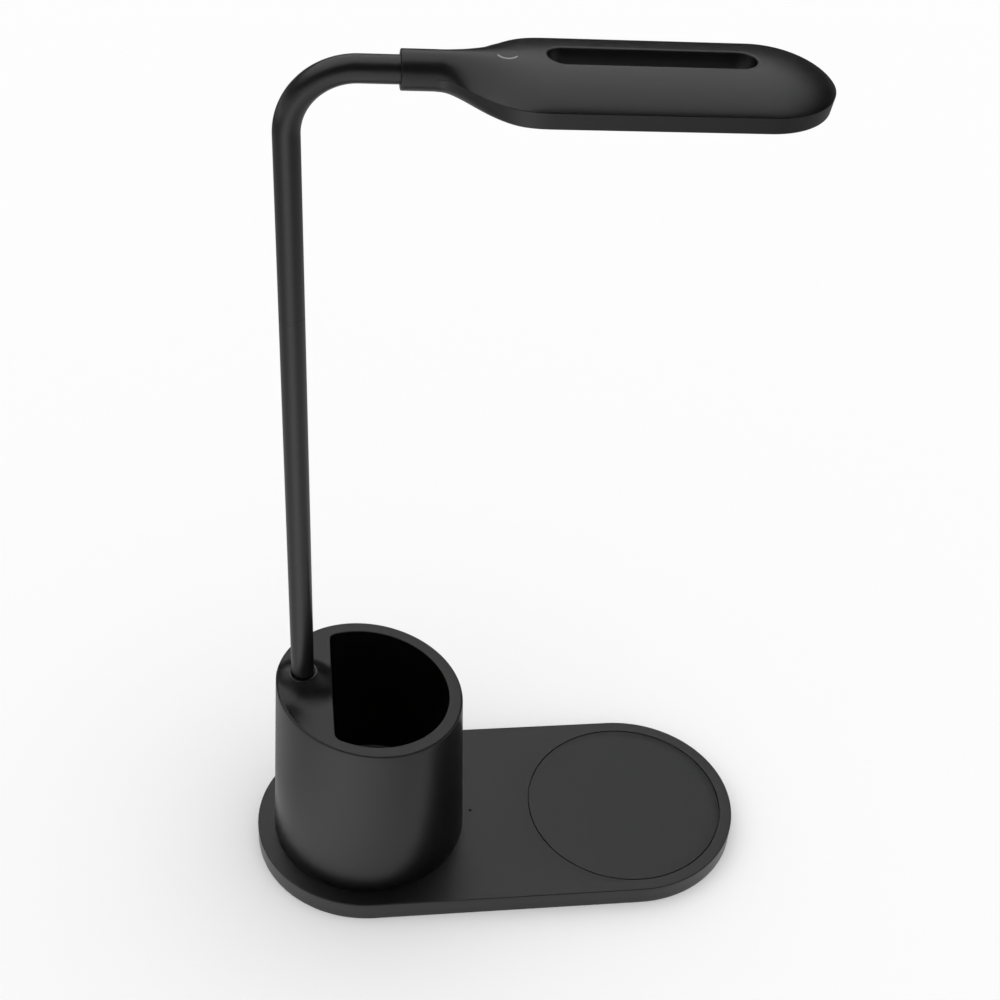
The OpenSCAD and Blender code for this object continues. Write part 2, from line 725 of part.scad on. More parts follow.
module sleeve_piece(i) {
    color(black) path_tube(sleeve_ends[i - 1], sleeve_ends[i], sleeve_r, sleeve_hole_r);
}

// ---------- lamp head ----------

flare_us = [for (i = [0:15]) mix(frame_from, flare_to, i / 15)];
hollow_us = [for (i = [0:8]) mix(cavity_from, flare_to, i / 8)];
crown_n = 28;
hollow_n = 16;

neck_outline = [for (i = [0:2 * crown_n - 1]) neck_r * [cos(180 * i / crown_n), sin(180 * i / crown_n)]];

function half_of(section) = [for (p = section) if (p[0] > -0.001) [max(p[0], 0), p[1]]];

module crown_solid() {
    loft(flare_us, [for (u = flare_us) crown_section(u, 0, crown_n, 0)]);
    profile = half_of(crown_section(flare_to, 0, crown_n, 0));
    body_and_nose(concat([[0, body_seam]], profile));
}

module crown_hollow() {
    loft(hollow_us, [for (u = hollow_us) crown_section(u, head_wall, hollow_n, over)]);
    profile = half_of(crown_section(flare_to, head_wall, hollow_n, over));
    body_and_nose(concat([[0, body_seam - over]], profile));
}

module touch_crescent(grow) {
    difference() {
        circle(r = touch_r + grow, $fn = 48);
        translate([0, touch_shift]) circle(r = touch_r - snug - grow, $fn = 48);
    }
}

module head_upper_shell() {
    color(charcoal) at_head() difference() {
        union() {
            difference() {
                union() {
                    rotate([90, 0, 90]) linear_extrude(frame_from) polygon(neck_outline);
                    crown_solid();
                }
                crown_hollow();
            }
            stadium_between(slot_c0, slot_c1, slot_wall_r, diffuser_z, slot_wall_top);
            for (p = head_posts) translate([p[0], p[1], led_board_top])
                cylinder(r = head_post_r, h = head_post_top - led_board_top, $fn = 32);
        }
        stadium_between(slot_c0, slot_c1, slot_r, body_under - over, neck_r + over);
        translate([-over, 0, 0]) along_neck() cylinder(r = bore_r, h = neck_bore_to + over);
        for (p = head_posts) translate([p[0], p[1], led_board_top - over])
            cylinder(r = head_pilot_r, h = head_pilot_top - led_board_top + over, $fn = 24);
        translate([touch_at, 0, neck_r - touch_sink - touch_depth])
            linear_extrude(2 * over) touch_crescent(touch_clear);
    }
}

module frame_solid() {
    loft(flare_us, [for (u = flare_us) frame_section(u, 0, 0, 4, 0)]);
    profile = half_of(frame_section(flare_to, 0, 0, 4, 0));
    body_and_nose(concat([[0, body_under]], profile, [[0, body_seam]]));
}

module frame_hollow() {
    loft(hollow_us, [for (u = hollow_us) frame_section(u, head_wall, frame_floor, 2, over)]);
    profile = half_of(frame_section(flare_to, head_wall, frame_floor, 2, over));
    body_and_nose(concat([[0, diffuser_z]], profile, [[0, body_seam + over]]));
}

module head_lower_frame() {
    color(charcoal) at_head() difference() {
        frame_solid();
        frame_hollow();
        stadium_between(slot_c0, nose_at, glow_r + fit, body_under - over, body_seam);
        along_neck() cylinder(r = bore_r, h = neck_bore_to);
    }
}

module diffuser() {
    color("#e8e6e0") at_head() difference() {
        union() {
            stadium_between(slot_c0, nose_at, glow_r, body_under, diffuser_z + over / 2);
            stadium_between(slot_c0, nose_at, glow_r + flange_w, diffuser_z, diffuser_z + diffuser_flange);
        }
        stadium_between(slot_c0, slot_c1, slot_wall_r + fit, body_under - over, body_seam);
    }
}

module led_board() {
    color("#e9ebe8") at_head() difference() {
        stadium_between(slot_c0, nose_at, glow_r + flange_w, led_board_top - led_board_t, led_board_top);
        stadium_between(slot_c0, slot_c1, slot_wall_r + led_board_clear, body_under, 0);
        for (p = head_posts) translate([p[0], p[1], body_under])
            cylinder(r = head_screw_r, h = band_h + over, $fn = 24);
    }
}

module led_chips() {
    z = led_board_top - led_board_t - led_chip[2];
    n = floor((slot_c1 - slot_c0) / led_pitch);
    color("#f3d36b") at_head() {
        for (s = [-1, 1], i = [0:n])
            translate([slot_c0 + i * led_pitch - led_chip[0] / 2, s * led_row_r - led_chip[1] / 2, z])
                cube(led_chip);
        for (end = [[slot_c1, 0], [slot_c0, 180]], a = led_row_turns)
            translate([end[0], 0, 0]) rotate([0, 0, end[1] + a])
                translate([led_row_r - led_chip[1] / 2, -led_chip[0] / 2, z])
                    cube([led_chip[1], led_chip[0], led_chip[2]]);
    }
}

module head_screws() {
    z = led_board_top - led_board_t - head_screw_head_h;
    color(steel) at_head() for (p = head_posts) translate([p[0], p[1], z])
        pan_screw(head_pilot_r, head_screw_head_r, head_screw_head_h, head_pilot_top - head_screw_short - z,
                  $fn = 24);
}

module touch_sensor() {
    color("#c7a54a") at_head() translate([touch_at, 0, touch_sensor_z])
        cylinder(r = touch_sensor_r, h = touch_sensor_t);
}

module touch_icon() {
    color("#b9bcbe") at_head() translate([touch_at, 0, neck_r - touch_sink - touch_depth])
        linear_extrude(touch_depth) touch_crescent(0);
}

module arm_upper_ferrule() {
    color(steel) at_head() translate([ferrule_from, 0, 0]) along_neck()
        ring(ferrule_r, ferrule_bore_r, ferrule_to - ferrule_from);
}

base_top_shell();
base_bottom_cover();
rubber_feet();
cover_screws();
ballast_plate();
charge_pad();
charge_coil();
coil_ferrite();
charger_board();
board_parts();
usb_socket();
indicator_lens();
cup_shell();
cup_screws();
arm_lower_ferrule();
arm_washer();
arm_nut();
core_piece(0);  // core_0
core_piece(1);  // core_1
core_piece(2);  // core_2
core_piece(3);  // core_3
core_piece(4);  // core_4
core_piece(5);  // core_5
core_piece(6);  // core_6
core_piece(7);  // core_7
core_piece(8);  // core_8
core_piece(9);  // core_9
sleeve_piece(1);  // sleeve_1
sleeve_piece(2);  // sleeve_2
sleeve_piece(3);  // sleeve_3
sleeve_piece(4);  // sleeve_4
sleeve_piece(5);  // sleeve_5
sleeve_piece(6);  // sleeve_6
sleeve_piece(7);  // sleeve_7
sleeve_piece(8);  // sleeve_8
sleeve_piece(9);  // sleeve_9
arm_upper_ferrule();
head_upper_shell();
head_lower_frame();
diffuser();
led_board();
led_chips();
head_screws();
touch_sensor();
touch_icon();
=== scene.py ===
"""Looks of the desk lamp with its pen cup and charging base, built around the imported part.

Lengths in the classes are in millimetres, in the frame of the part: the origin is the centre of the
base on the desk, +X runs to the charging end, +Y to the back and +Z up.
"""

import logging
import math
from dataclasses import dataclass, field
from enum import Enum
from functools import partial
from typing import ClassVar

import bmesh
import bpy
import numpy as np
from mathutils import Matrix


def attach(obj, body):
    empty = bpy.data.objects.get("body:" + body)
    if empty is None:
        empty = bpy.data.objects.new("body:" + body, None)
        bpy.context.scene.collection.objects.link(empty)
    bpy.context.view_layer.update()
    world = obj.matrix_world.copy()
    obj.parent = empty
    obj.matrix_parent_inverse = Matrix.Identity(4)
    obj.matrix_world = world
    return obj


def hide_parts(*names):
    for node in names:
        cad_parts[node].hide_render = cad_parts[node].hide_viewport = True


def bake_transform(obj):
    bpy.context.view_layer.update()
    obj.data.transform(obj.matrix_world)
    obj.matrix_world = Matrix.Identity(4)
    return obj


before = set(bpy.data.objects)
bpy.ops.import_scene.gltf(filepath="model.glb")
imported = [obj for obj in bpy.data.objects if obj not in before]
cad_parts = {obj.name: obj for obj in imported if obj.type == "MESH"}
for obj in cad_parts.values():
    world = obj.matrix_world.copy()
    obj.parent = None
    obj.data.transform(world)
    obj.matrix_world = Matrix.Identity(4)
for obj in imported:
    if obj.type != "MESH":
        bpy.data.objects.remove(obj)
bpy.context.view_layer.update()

log = logging.getLogger("desk_lamp")
logging.basicConfig(level=logging.INFO, format="%(name)s: %(message)s")

Points = np.ndarray
Piece = bpy.types.Object
Socket = bpy.types.NodeSocket
MM = 0.001
BASE = "base"
HEAD = "head"
# Edges that turn more than this many degrees stay sharp: on plain, softly rounded and tube-like pieces.
EDGE_PLAIN, EDGE_SOFT, EDGE_TUBE = 32.0, 40.0, 50.0


# ---- meshes


def ease(t: Points) -> Points:
    """Smooth step: 3 t^2 - 2 t^3 with t held between 0 and 1."""
    k = np.clip(t, 0.0, 1.0)
    return k * k * (3.0 - 2.0 * k)


def mix(a: Points, b: Points, t: Points) -> Points:
    """Straight mix of a and b."""
    return a + (b - a) * t


def rounded(a: Points, corner: Points, b: Points, steps: int) -> Points:
    """Round edge between two rows of points.

    Args:
        a: Row where it starts, (n, 3).
        corner: Row of the corner that is rounded off.
        b: Row where it ends.
        steps: Number of steps.

    Returns:
        The rows (1-t)^2 a + 2 t (1-t) corner + t^2 b, (steps + 1, n, 3).
    """
    t = np.linspace(0.0, 1.0, steps + 1)[:, None, None]
    return (1 - t) ** 2 * a + 2 * t * (1 - t) * corner + t**2 * b


def between(a: Points, b: Points, steps: int) -> Points:
    """Rows straight from a to b, without both ends."""
    return mix(a, b, np.linspace(0.0, 1.0, steps + 1)[1:-1, None, None])


def circle(steps: int) -> Points:
    """Angles once round, in that many steps."""
    return np.linspace(0.0, 2 * math.pi, steps + 1)[:-1]


def plug(low: float, high: float) -> tuple[tuple[float, float], ...]:
    """Rows of a closed plug, each a share of its outline and a height along it."""
    return (0, low), (1, low), (1, high), (0, high)


def xyz(x: Points, y: Points, z: Points) -> Points:
    """Stacks three coordinates, each an array or a number, into points."""
    return np.stack(np.broadcast_arrays(x, y, z), axis=-1).astype(float)


@dataclass
class Skin:
    """Patches of one piece, gathered as grids of points and welded into one mesh."""

    points: list[Points] = field(default_factory=list)
    quads: list[Points] = field(default_factory=list)
    count: int = 0

    def grid(self, rows: Points, round_rows: bool = False, round_cols: bool = False) -> None:
        """Adds a grid of quads over points of shape (rows, columns, 3).

        Args:
            rows: The points.
            round_rows: The last row joins the first.
            round_cols: The last column joins the first.
        """
        high, wide = rows.shape[:2]
        index = np.arange(high * wide).reshape(high, wide) + self.count
        if round_rows:
            index = np.vstack([index, index[:1]])
        if round_cols:
            index = np.hstack([index, index[:, :1]])
        corners = (index[:-1, :-1], index[:-1, 1:], index[1:, 1:], index[1:, :-1])
        self.points.append(rows.reshape(-1, 3))
        self.quads.append(np.stack(corners, axis=-1).reshape(-1, 4))
        self.count += high * wide

    def piece(self, name: str, sharp: float = EDGE_PLAIN) -> Piece:
        """Welds the patches and makes the object, with its faces outwards.

        Args:
            name: Name of the piece.
            sharp: Edges that turn more than this many degrees stay sharp.

        Returns:
            The new object.
        """
        mesh = bpy.data.meshes.new(name)
        mesh.from_pydata(np.vstack(self.points) * MM, [], np.vstack(self.quads).tolist())
        work = bmesh.new()
        work.from_mesh(mesh)
        bmesh.ops.remove_doubles(work, verts=work.verts, dist=2e-6)
        bmesh.ops.dissolve_degenerate(work, edges=work.edges, dist=1e-7)
        bmesh.ops.recalc_face_normals(work, faces=work.faces)
        open_edges = sum(1 for e in work.edges if not e.is_manifold)
        work.to_mesh(mesh)
        work.free()
        smooth(mesh, sharp)
        log.info("%s: %d faces, %d open edges", name, len(mesh.polygons), open_edges)
        return place_object(name, mesh)


def place_object(name: str, data: bpy.types.ID) -> Piece:
    """Makes an object of a mesh or camera and links it to the scene."""
    made = bpy.data.objects.new(name, data)
    bpy.context.scene.collection.objects.link(made)
    return made


def smooth(mesh: bpy.types.Mesh, sharp: float) -> None:
    """Shades a mesh smooth, apart from edges that turn more than sharp degrees."""
    mesh.polygons.foreach_set("use_smooth", np.ones(len(mesh.polygons), bool))
    mesh.set_sharp_from_angle(angle=math.radians(sharp))


def cut(piece: Piece, tool: Piece, sharp: float = EDGE_PLAIN) -> None:
    """Takes the closed solid tool out of piece, applies that and removes the tool."""
    modifier = piece.modifiers.new("cut", "BOOLEAN")
    modifier.operation = "DIFFERENCE"
    modifier.solver = "EXACT"
    modifier.object = tool
    graph = bpy.context.evaluated_depsgraph_get()
    mesh = bpy.data.meshes.new_from_object(piece.evaluated_get(graph))
    piece.modifiers.clear()
    piece.data = mesh
    bpy.data.objects.remove(tool)
    smooth(mesh, sharp)


def drill(x: float, z: float, radius: float, depth: float, steps: int) -> Piece:
    """Makes an upright cylinder about (x, 0, z) to cut a round hole with."""
    place = (x * MM, 0, z * MM)
    bpy.ops.mesh.primitive_cylinder_add(vertices=steps, radius=radius * MM, depth=depth * MM, location=place)
    return bpy.context.object


def shape(name: str, rows: Points, closed: bool = False, sharp: float = EDGE_PLAIN) -> Piece:
    """Makes a piece of one grid whose columns go round, and whose rows do too where closed is set."""
    skin = Skin()
    skin.grid(rows, round_rows=closed, round_cols=True)
    return skin.piece(name, sharp)


def revolve(
    name: str, profile: list, centre: tuple[float, float], steps: int, sharp: float = EDGE_PLAIN
) -> Piece:
    """Turns a profile of (radius, height) about the vertical axis through centre.

    Args:
        name: Name of the piece.
        profile: Points from the axis round to the axis, or a closed loop off it.
        centre: X and Y of the axis.
        steps: Number of steps round.
        sharp: As in Skin.piece.

    Returns:
        The closed mesh: x = cx + r cos t, y = cy + r sin t, z = height.
    """
    r, z = np.array(profile).T[:, :, None]
    turn = circle(steps)[None]
    rows = xyz(centre[0] + r * np.cos(turn), centre[1] + r * np.sin(turn), z + 0 * turn)
    return shape(name, rows, profile[0][0] > 0, sharp)


def stadium(x0: float, x1: float, r: float, steps: int) -> tuple[Points, Points]:
    """Outline with two round ends of radius r about (x0, 0) and (x1, 0), counter-clockwise."""
    turn = np.linspace(-90.0, 90.0, steps + 1) * math.pi / 180
    x = np.concatenate([x1 + r * np.cos(turn), x0 - r * np.cos(turn)])
    y = np.concatenate([r * np.sin(turn), -r * np.sin(turn)])
    return x, y


# ---- materials


SOCKET_KINDS = {"vector": "NodeSocketVector", "value": "NodeSocketFloat"}
# Inputs and output of a Mix node that is set to colour.
MIX_A, MIX_B, MIX_RESULT = 6, 7, 2
# Soft patches of colour and nicks along a wound wire, per metre, and how much the nicks count.
PATCHES, NICKS, NICK_SHARE = 38.0, 2500.0, 0.3
# How far the roughness of a finish strays either way.
ROUGH_SPREAD = 0.04


@dataclass(frozen=True)
class Look:
    """What one finish looks like.

    Attributes:
        slot: The record's material slot that it shows.
        colour: Linear base colour.
        rough: Roughness.
        grain: Size of the surface grain in millimetres, or pitch of the turns.
        depth: Height of the grain in millimetres.
        patch: Share by which the colour strays in soft patches.
        metal: Metallic, 0 or 1.
        coat: Weight of a clear layer.
        sheen: Weight of a sheen, for rubber.
        turns: Wound turns across Z instead of an even grain.
        shine: Specular level, 0.5 for a plain plastic.
    """

    slot: str
    colour: tuple[float, float, float]
    rough: float
    grain: float
    depth: float
    patch: float = 0.06
    metal: float = 0.0
    coat: float = 0.0
    sheen: float = 0.0
    turns: bool = False
    shine: float = 0.5


class Finish(Enum):
    """The finishes of the lamp: slot, colour, roughness, grain and its depth, then what sets it apart."""

    CHARCOAL = Look("charcoal_plastic", (0.0022, 0.0022, 0.0023), 0.33, 0.28, 0.006, shine=0.63)
    BLACK = Look("black_plastic", (0.010, 0.010, 0.011), 0.52, 0.5, 0.015)
    SILICONE = Look("black_silicone", (0.0030, 0.0030, 0.0031), 0.31, 0.2, 0.003, patch=0.10, shine=0.72)
    FOOT = Look("foot_rubber", (0.012, 0.012, 0.012), 0.75, 0.4, 0.02, sheen=0.15)
    PAD = Look("pad_rubber", (0.0045, 0.0045, 0.0047), 0.40, 0.18, 0.004, shine=0.63)
    GOOSENECK = Look("gooseneck_steel", (0.30, 0.31, 0.32), 0.34, 1.6, 0.06, metal=1.0, turns=True)
    STEEL = Look("bright_steel", (0.52, 0.52, 0.51), 0.26, 0.3, 0.003, metal=1.0)
    BALLAST = Look("ballast_steel", (0.26, 0.26, 0.27), 0.48, 0.8, 0.01, metal=1.0)
    COPPER = Look("copper", (0.60, 0.27, 0.13), 0.32, 0.5, 0.05, metal=1.0, turns=True)
    FERRITE = Look("ferrite", (0.05, 0.05, 0.052), 0.60, 0.6, 0.01)
    GREEN_BOARD = Look("green_board", (0.02, 0.12, 0.05), 0.36, 0.7, 0.006, coat=0.4)
    WHITE_BOARD = Look("white_board", (0.78, 0.79, 0.78), 0.40, 0.7, 0.006, coat=0.3)
    CHIP = Look("chip_black", (0.018, 0.018, 0.018), 0.55, 0.2, 0.006)
    LED = Look("led_yellow", (0.80, 0.55, 0.12), 0.30, 0.4, 0.003, coat=0.5)
    MILKY = Look("milky_plastic", (0.80, 0.80, 0.77), 0.42, 0.25, 0.004, patch=0.02)
    BRASS = Look("brass_pad", (0.62, 0.44, 0.16), 0.30, 0.3, 0.003, metal=1.0)
    # Light grey arc on the touch control: a painted highlight of its near rim.
    ICON = Look("grey_light", (0.26, 0.27, 0.28), 0.35, 0.2, 0.002, patch=0.02)
    SMOKED = Look("smoked_plastic", (0.001, 0.001, 0.001), 0.30, 0.2, 0.001, patch=0.02, shine=0.06)


class ShaderGroup:
    """A shader node group with named inputs and outputs, built once and placed in many materials."""

    def __init__(self, name: str, inputs: dict[str, str], outputs: dict[str, str]) -> None:
        """Makes the empty group.

        Args:
            name: Name of the group.
            inputs: Socket name to kind: vector or value.
            outputs: The same for what comes out.
        """
        self.tree = bpy.data.node_groups.new(name, "ShaderNodeTree")
        for way, sockets in (("INPUT", inputs), ("OUTPUT", outputs)):
            for socket, kind in sockets.items():
                self.tree.interface.new_socket(socket, in_out=way, socket_type=SOCKET_KINDS[kind])
        self.given = self.tree.nodes.new("NodeGroupInput")
        self.result = self.tree.nodes.new("NodeGroupOutput")

    def node(self, kind: str, **settings: object) -> bpy.types.Node:
        """Adds a node and sets its properties."""
        made = self.tree.nodes.new(kind)
        for key, value in settings.items():
            setattr(made, key, value)
        return made

    def link(self, source: Socket, target: Socket) -> None:
        """Joins two sockets."""
        self.tree.links.new(source, target)

    def feed(self, value: object, target: Socket) -> None:
        """Links a socket to the target, or sets the target to a number."""
        if isinstance(value, Socket):
            self.link(value, target)
        elif value is not None:
            target.default_value = value

    def math(self, operation: str, first: object, second: object = None) -> Socket:
        """Adds a Math node whose inputs are sockets or numbers, and returns its output."""
        made = self.node("ShaderNodeMath", operation=operation)
        for value, target in zip((first, second), made.inputs, strict=False):
            self.feed(value, target)
        return made.outputs[0]

    def stretch(self, source: Socket, low: object, high: object) -> Socket:
        """Maps 0 to 1 onto low to high, which are sockets or numbers."""
        made = self.node("ShaderNodeMapRange")
        for name, value in (("Value", source), ("To Min", low), ("To Max", high)):
            self.feed(value, made.inputs[name])
        return made.outputs["Result"]


def set_inputs(node: bpy.types.Node, **values: object) -> None:
    """Sets a node's inputs, each named with _ for a space."""
    for name, value in values.items():
        node.inputs[name.replace("_", " ")].default_value = value


def new_material(name: str) -> tuple[bpy.types.Material, bpy.types.Node]:
    """Makes a material and returns it with its Principled shader."""
    material = bpy.data.materials.new(name)
    material.use_nodes = True
    return material, material.node_tree.nodes["Principled BSDF"]


def grain_group() -> ShaderGroup:
    """Even moulded grain: fine noise for height and roughness, soft patches for the colour.

    Returns:
        Group with inputs Place, Size (metres), Patch, Rough and Spread, and outputs Shade, Rough and Height.
    """
    group = ShaderGroup(
        "Moulded grain",
        {"Place": "vector", "Size": "value", "Patch": "value", "Rough": "value", "Spread": "value"},
        {"Shade": "value", "Rough": "value", "Height": "value"},
    )
    given, result = group.given.outputs, group.result.inputs
    per_metre = group.math("DIVIDE", 1.0, given["Size"])
    fine = group.node("ShaderNodeTexNoise")
    set_inputs(fine, Detail=2.0)
    pits = group.node("ShaderNodeTexVoronoi", feature="SMOOTH_F1")
    soft = group.node("ShaderNodeTexNoise")
    set_inputs(soft, Scale=PATCHES, Detail=3.0)
    for texture in (fine, pits, soft):
        group.link(given["Place"], texture.inputs["Vector"])
    for texture in (fine, pits):
        group.link(per_metre, texture.inputs["Scale"])
    height = group.math("ADD", group.math("MULTIPLY", pits.outputs["Distance"], 0.5), fine.outputs["Fac"])
    group.link(height, result["Height"])
    low, high = (group.math(way, 1.0, given["Patch"]) for way in ("SUBTRACT", "ADD"))
    group.link(group.stretch(soft.outputs["Fac"], low, high), result["Shade"])
    low, high = (group.math(way, given["Rough"], given["Spread"]) for way in ("SUBTRACT", "ADD"))
    both = group.math("MULTIPLY", group.math("ADD", soft.outputs["Fac"], fine.outputs["Fac"]), 0.5)
    group.link(group.stretch(both, low, high), result["Rough"])
    return group


def turns_group() -> ShaderGroup:
    """Wound turns across Z: a sine of height, with a little noise along it.

    Returns:
        Group with inputs Place and Size (pitch in metres), and output Height.
    """
    group = ShaderGroup("Wound turns", {"Place": "vector", "Size": "value"}, {"Height": "value"})
    place = group.given.outputs["Place"]
    split = group.node("ShaderNodeSeparateXYZ")
    group.link(place, split.inputs[0])
    turns = group.math("DIVIDE", split.outputs["Z"], group.given.outputs["Size"])
    wave = group.math("SINE", group.math("MULTIPLY", turns, 2 * math.pi))
    noise = group.node("ShaderNodeTexNoise")
    set_inputs(noise, Scale=NICKS)
    group.link(place, noise.inputs["Vector"])
    height = group.math("ADD", wave, group.math("MULTIPLY", noise.outputs["Fac"], NICK_SHARE))
    group.link(height, group.result.inputs["Height"])
    return group


class Wardrobe:
    """Builds each finish's material once and puts it on pieces."""

    def __init__(self) -> None:
        """Builds the shared node groups."""
        self.grain = grain_group()
        self.turns = turns_group()
        self.made: dict[Finish, bpy.types.Material] = {}

    def material(self, finish: Finish) -> bpy.types.Material:
        """The material of a finish, made on its first use."""
        if finish not in self.made:
            self.made[finish] = self.mix_up(finish.value)
        return self.made[finish]

    def mix_up(self, look: Look) -> bpy.types.Material:
        """Makes a material from a look.

        Args:
            look: Its name, colour, roughness and grain.

        Returns:
            The material: a Principled shader whose colour, roughness and bump come from the groups.
        """
        material, shader = new_material(look.slot)
        nodes, links = material.node_tree.nodes, material.node_tree.links
        set_inputs(shader, Metallic=look.metal, Specular_IOR_Level=look.shine)
        set_inputs(shader, Coat_Weight=look.coat, Sheen_Weight=look.sheen)
        place = nodes.new("ShaderNodeTexCoord")
        grain = nodes.new("ShaderNodeGroup")
        grain.node_tree = self.grain.tree
        links.new(place.outputs["Object"], grain.inputs["Place"])
        set_inputs(grain, Size=look.grain * MM, Patch=look.patch, Rough=look.rough, Spread=ROUGH_SPREAD)
        tint = nodes.new("ShaderNodeMix")
        tint.data_type, tint.blend_type = "RGBA", "MULTIPLY"
        set_inputs(tint, Factor=1.0)
        tint.inputs[MIX_A].default_value = (*look.colour, 1.0)
        links.new(grain.outputs["Shade"], tint.inputs[MIX_B])
        links.new(tint.outputs[MIX_RESULT], shader.inputs["Base Color"])
        links.new(grain.outputs["Rough"], shader.inputs["Roughness"])
        bump = nodes.new("ShaderNodeBump")
        set_inputs(bump, Strength=1.0, Distance=look.depth * MM)
        height = grain
        if look.turns:
            height = nodes.new("ShaderNodeGroup")
            height.node_tree = self.turns.tree
            set_inputs(height, Size=look.grain * MM)
            links.new(place.outputs["Object"], height.inputs["Place"])
        links.new(height.outputs["Height"], bump.inputs["Height"])
        links.new(bump.outputs["Normal"], shader.inputs["Normal"])
        return material

    def dress(self, piece: Piece, finish: Finish) -> None:
        """Gives a new piece its material and names its slot of the record."""
        piece.data.materials.clear()
        piece.data.materials.append(self.material(finish))

    def put(self, piece: Piece, finish: Finish, body: str, *nodes: str) -> None:
        """Dresses a new piece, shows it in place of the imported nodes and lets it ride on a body."""
        self.dress(piece, finish)
        if nodes:
            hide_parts(*nodes)
        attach(piece, body)

    def dress_node(self, node: str, finish: Finish) -> None:
        """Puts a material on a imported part's own mesh."""
        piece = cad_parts[node]
        for held in piece.material_slots:
            held.material = self.material(finish)
        if not piece.material_slots:
            piece.data.materials.append(self.material(finish))


# ---- base


@dataclass
class Base:
    """The base's top shell and the charging pad that lies flush in it."""

    wardrobe: Wardrobe
    half: float = 49.0
    radius: float = 41.5
    top: float = 7.6
    foot: float = 0.15
    foot_edge: float = 0.15
    edge: float = 0.45
    wall: float = 1.8
    ceiling: float = 5.9
    pad_radius: float = 36.7
    groove: float = 0.3
    pad_bottom: float = 6.5
    pad_edge: float = 0.12
    pad_rim: float = 4.0
    window: float = 25.5
    light_x: float = -10.5
    light_radius: float = 0.6
    inlet: tuple[float, float, float] = (-4.0, 41.5, 3.95)
    inlet_size: tuple[float, float] = (9.14, 3.4)
    cut_depth: float = 3.0
    steps: int = 64
    nudge: float = 0.002

    def outline(self, inset: float, z: float) -> Points:
        """The base's outline, set in by inset, as points at height z."""
        x, y = stadium(-self.half, self.half, self.radius - inset, self.steps)
        return xyz(x, y, z)

    def seat(self, radius: float, z: float) -> Points:
        """Circle about the pad's centre, each point facing its own of the outline, none doubled."""
        n = self.steps + 1
        turn = np.concatenate([np.linspace(-90.0, 90.0, n), np.linspace(90.0, 270.0, n)]) * math.pi / 180
        turn[n] += self.nudge
        turn[-1] -= self.nudge
        return xyz(self.half + radius * np.cos(turn), radius * np.sin(turn), z)

    def shell(self) -> Piece:
        """Builds the top shell: side wall, rounded edges, flat top, the pad's seat and the inside.

        Returns:
            A closed mesh. Its rows go from the foot of the wall over the top into the seat, through the
            window and back along the inside, each row one outline moved in or down.
        """
        o, s, top, low = self.outline, self.seat, self.top, self.foot + self.foot_edge
        seat_r, low_seat = self.pad_radius + self.groove, self.pad_bottom
        edge, pad_edge = self.edge, self.pad_edge
        rows = [
            rounded(o(self.foot_edge, self.foot), o(0, self.foot), o(0, low), 3),
            between(o(0, low), o(0, top - edge), 4),
            rounded(o(0, top - edge), o(0, top), o(edge, top), 6),
            between(o(edge, top), s(seat_r + pad_edge, top), 3),
            rounded(s(seat_r + pad_edge, top), s(seat_r, top), s(seat_r, top - pad_edge), 3),
            np.stack([s(seat_r, low_seat), s(self.window, low_seat), s(self.window, self.ceiling)]),
            np.stack([o(self.wall, self.ceiling), o(self.wall, self.foot)]),
        ]
        piece = shape("base_shell", np.concatenate(rows), closed=True)
        for tool in self.openings():
            cut(piece, tool)
        return piece

    def openings(self) -> list[Piece]:
        """Solids that are cut out of the shell: the status light's hole and the power inlet's opening."""
        hole = drill(self.light_x, self.top, self.light_radius, 2 * self.cut_depth, 32)
        x, y, z = self.inlet
        wide, high = self.inlet_size
        across, up = stadium((high - wide) / 2, (wide - high) / 2, high / 2, 16)
        rows = plug(-self.cut_depth, self.cut_depth)
        rows = np.stack([xyz(x + across * k, y + dy, z + up * k) for k, dy in rows])
        return [hole, shape("inlet_tool", rows)]

    def pad(self) -> Piece:
        """Builds the charging pad: a disc with a small round edge."""
        r, e, top, low = self.pad_radius, self.pad_edge, self.top, self.pad_bottom
        edge = [(r - e * (1 - math.cos(t)), top - e + e * math.sin(t)) for t in (0.5, 1.0)]
        profile = [(0, low), (r, low), (r, top - e), *edge, (r - e, top), (r - self.pad_rim, top), (0, top)]
        return revolve("charging_pad", profile, (self.half, 0.0), 160)

    def build(self) -> None:
        """Builds the two pieces, which ride on the base."""
        self.wardrobe.put(self.shell(), Finish.CHARCOAL, BASE, "base_top_shell")
        self.wardrobe.put(self.pad(), Finish.PAD, BASE, "charge_pad")


# ---- cup


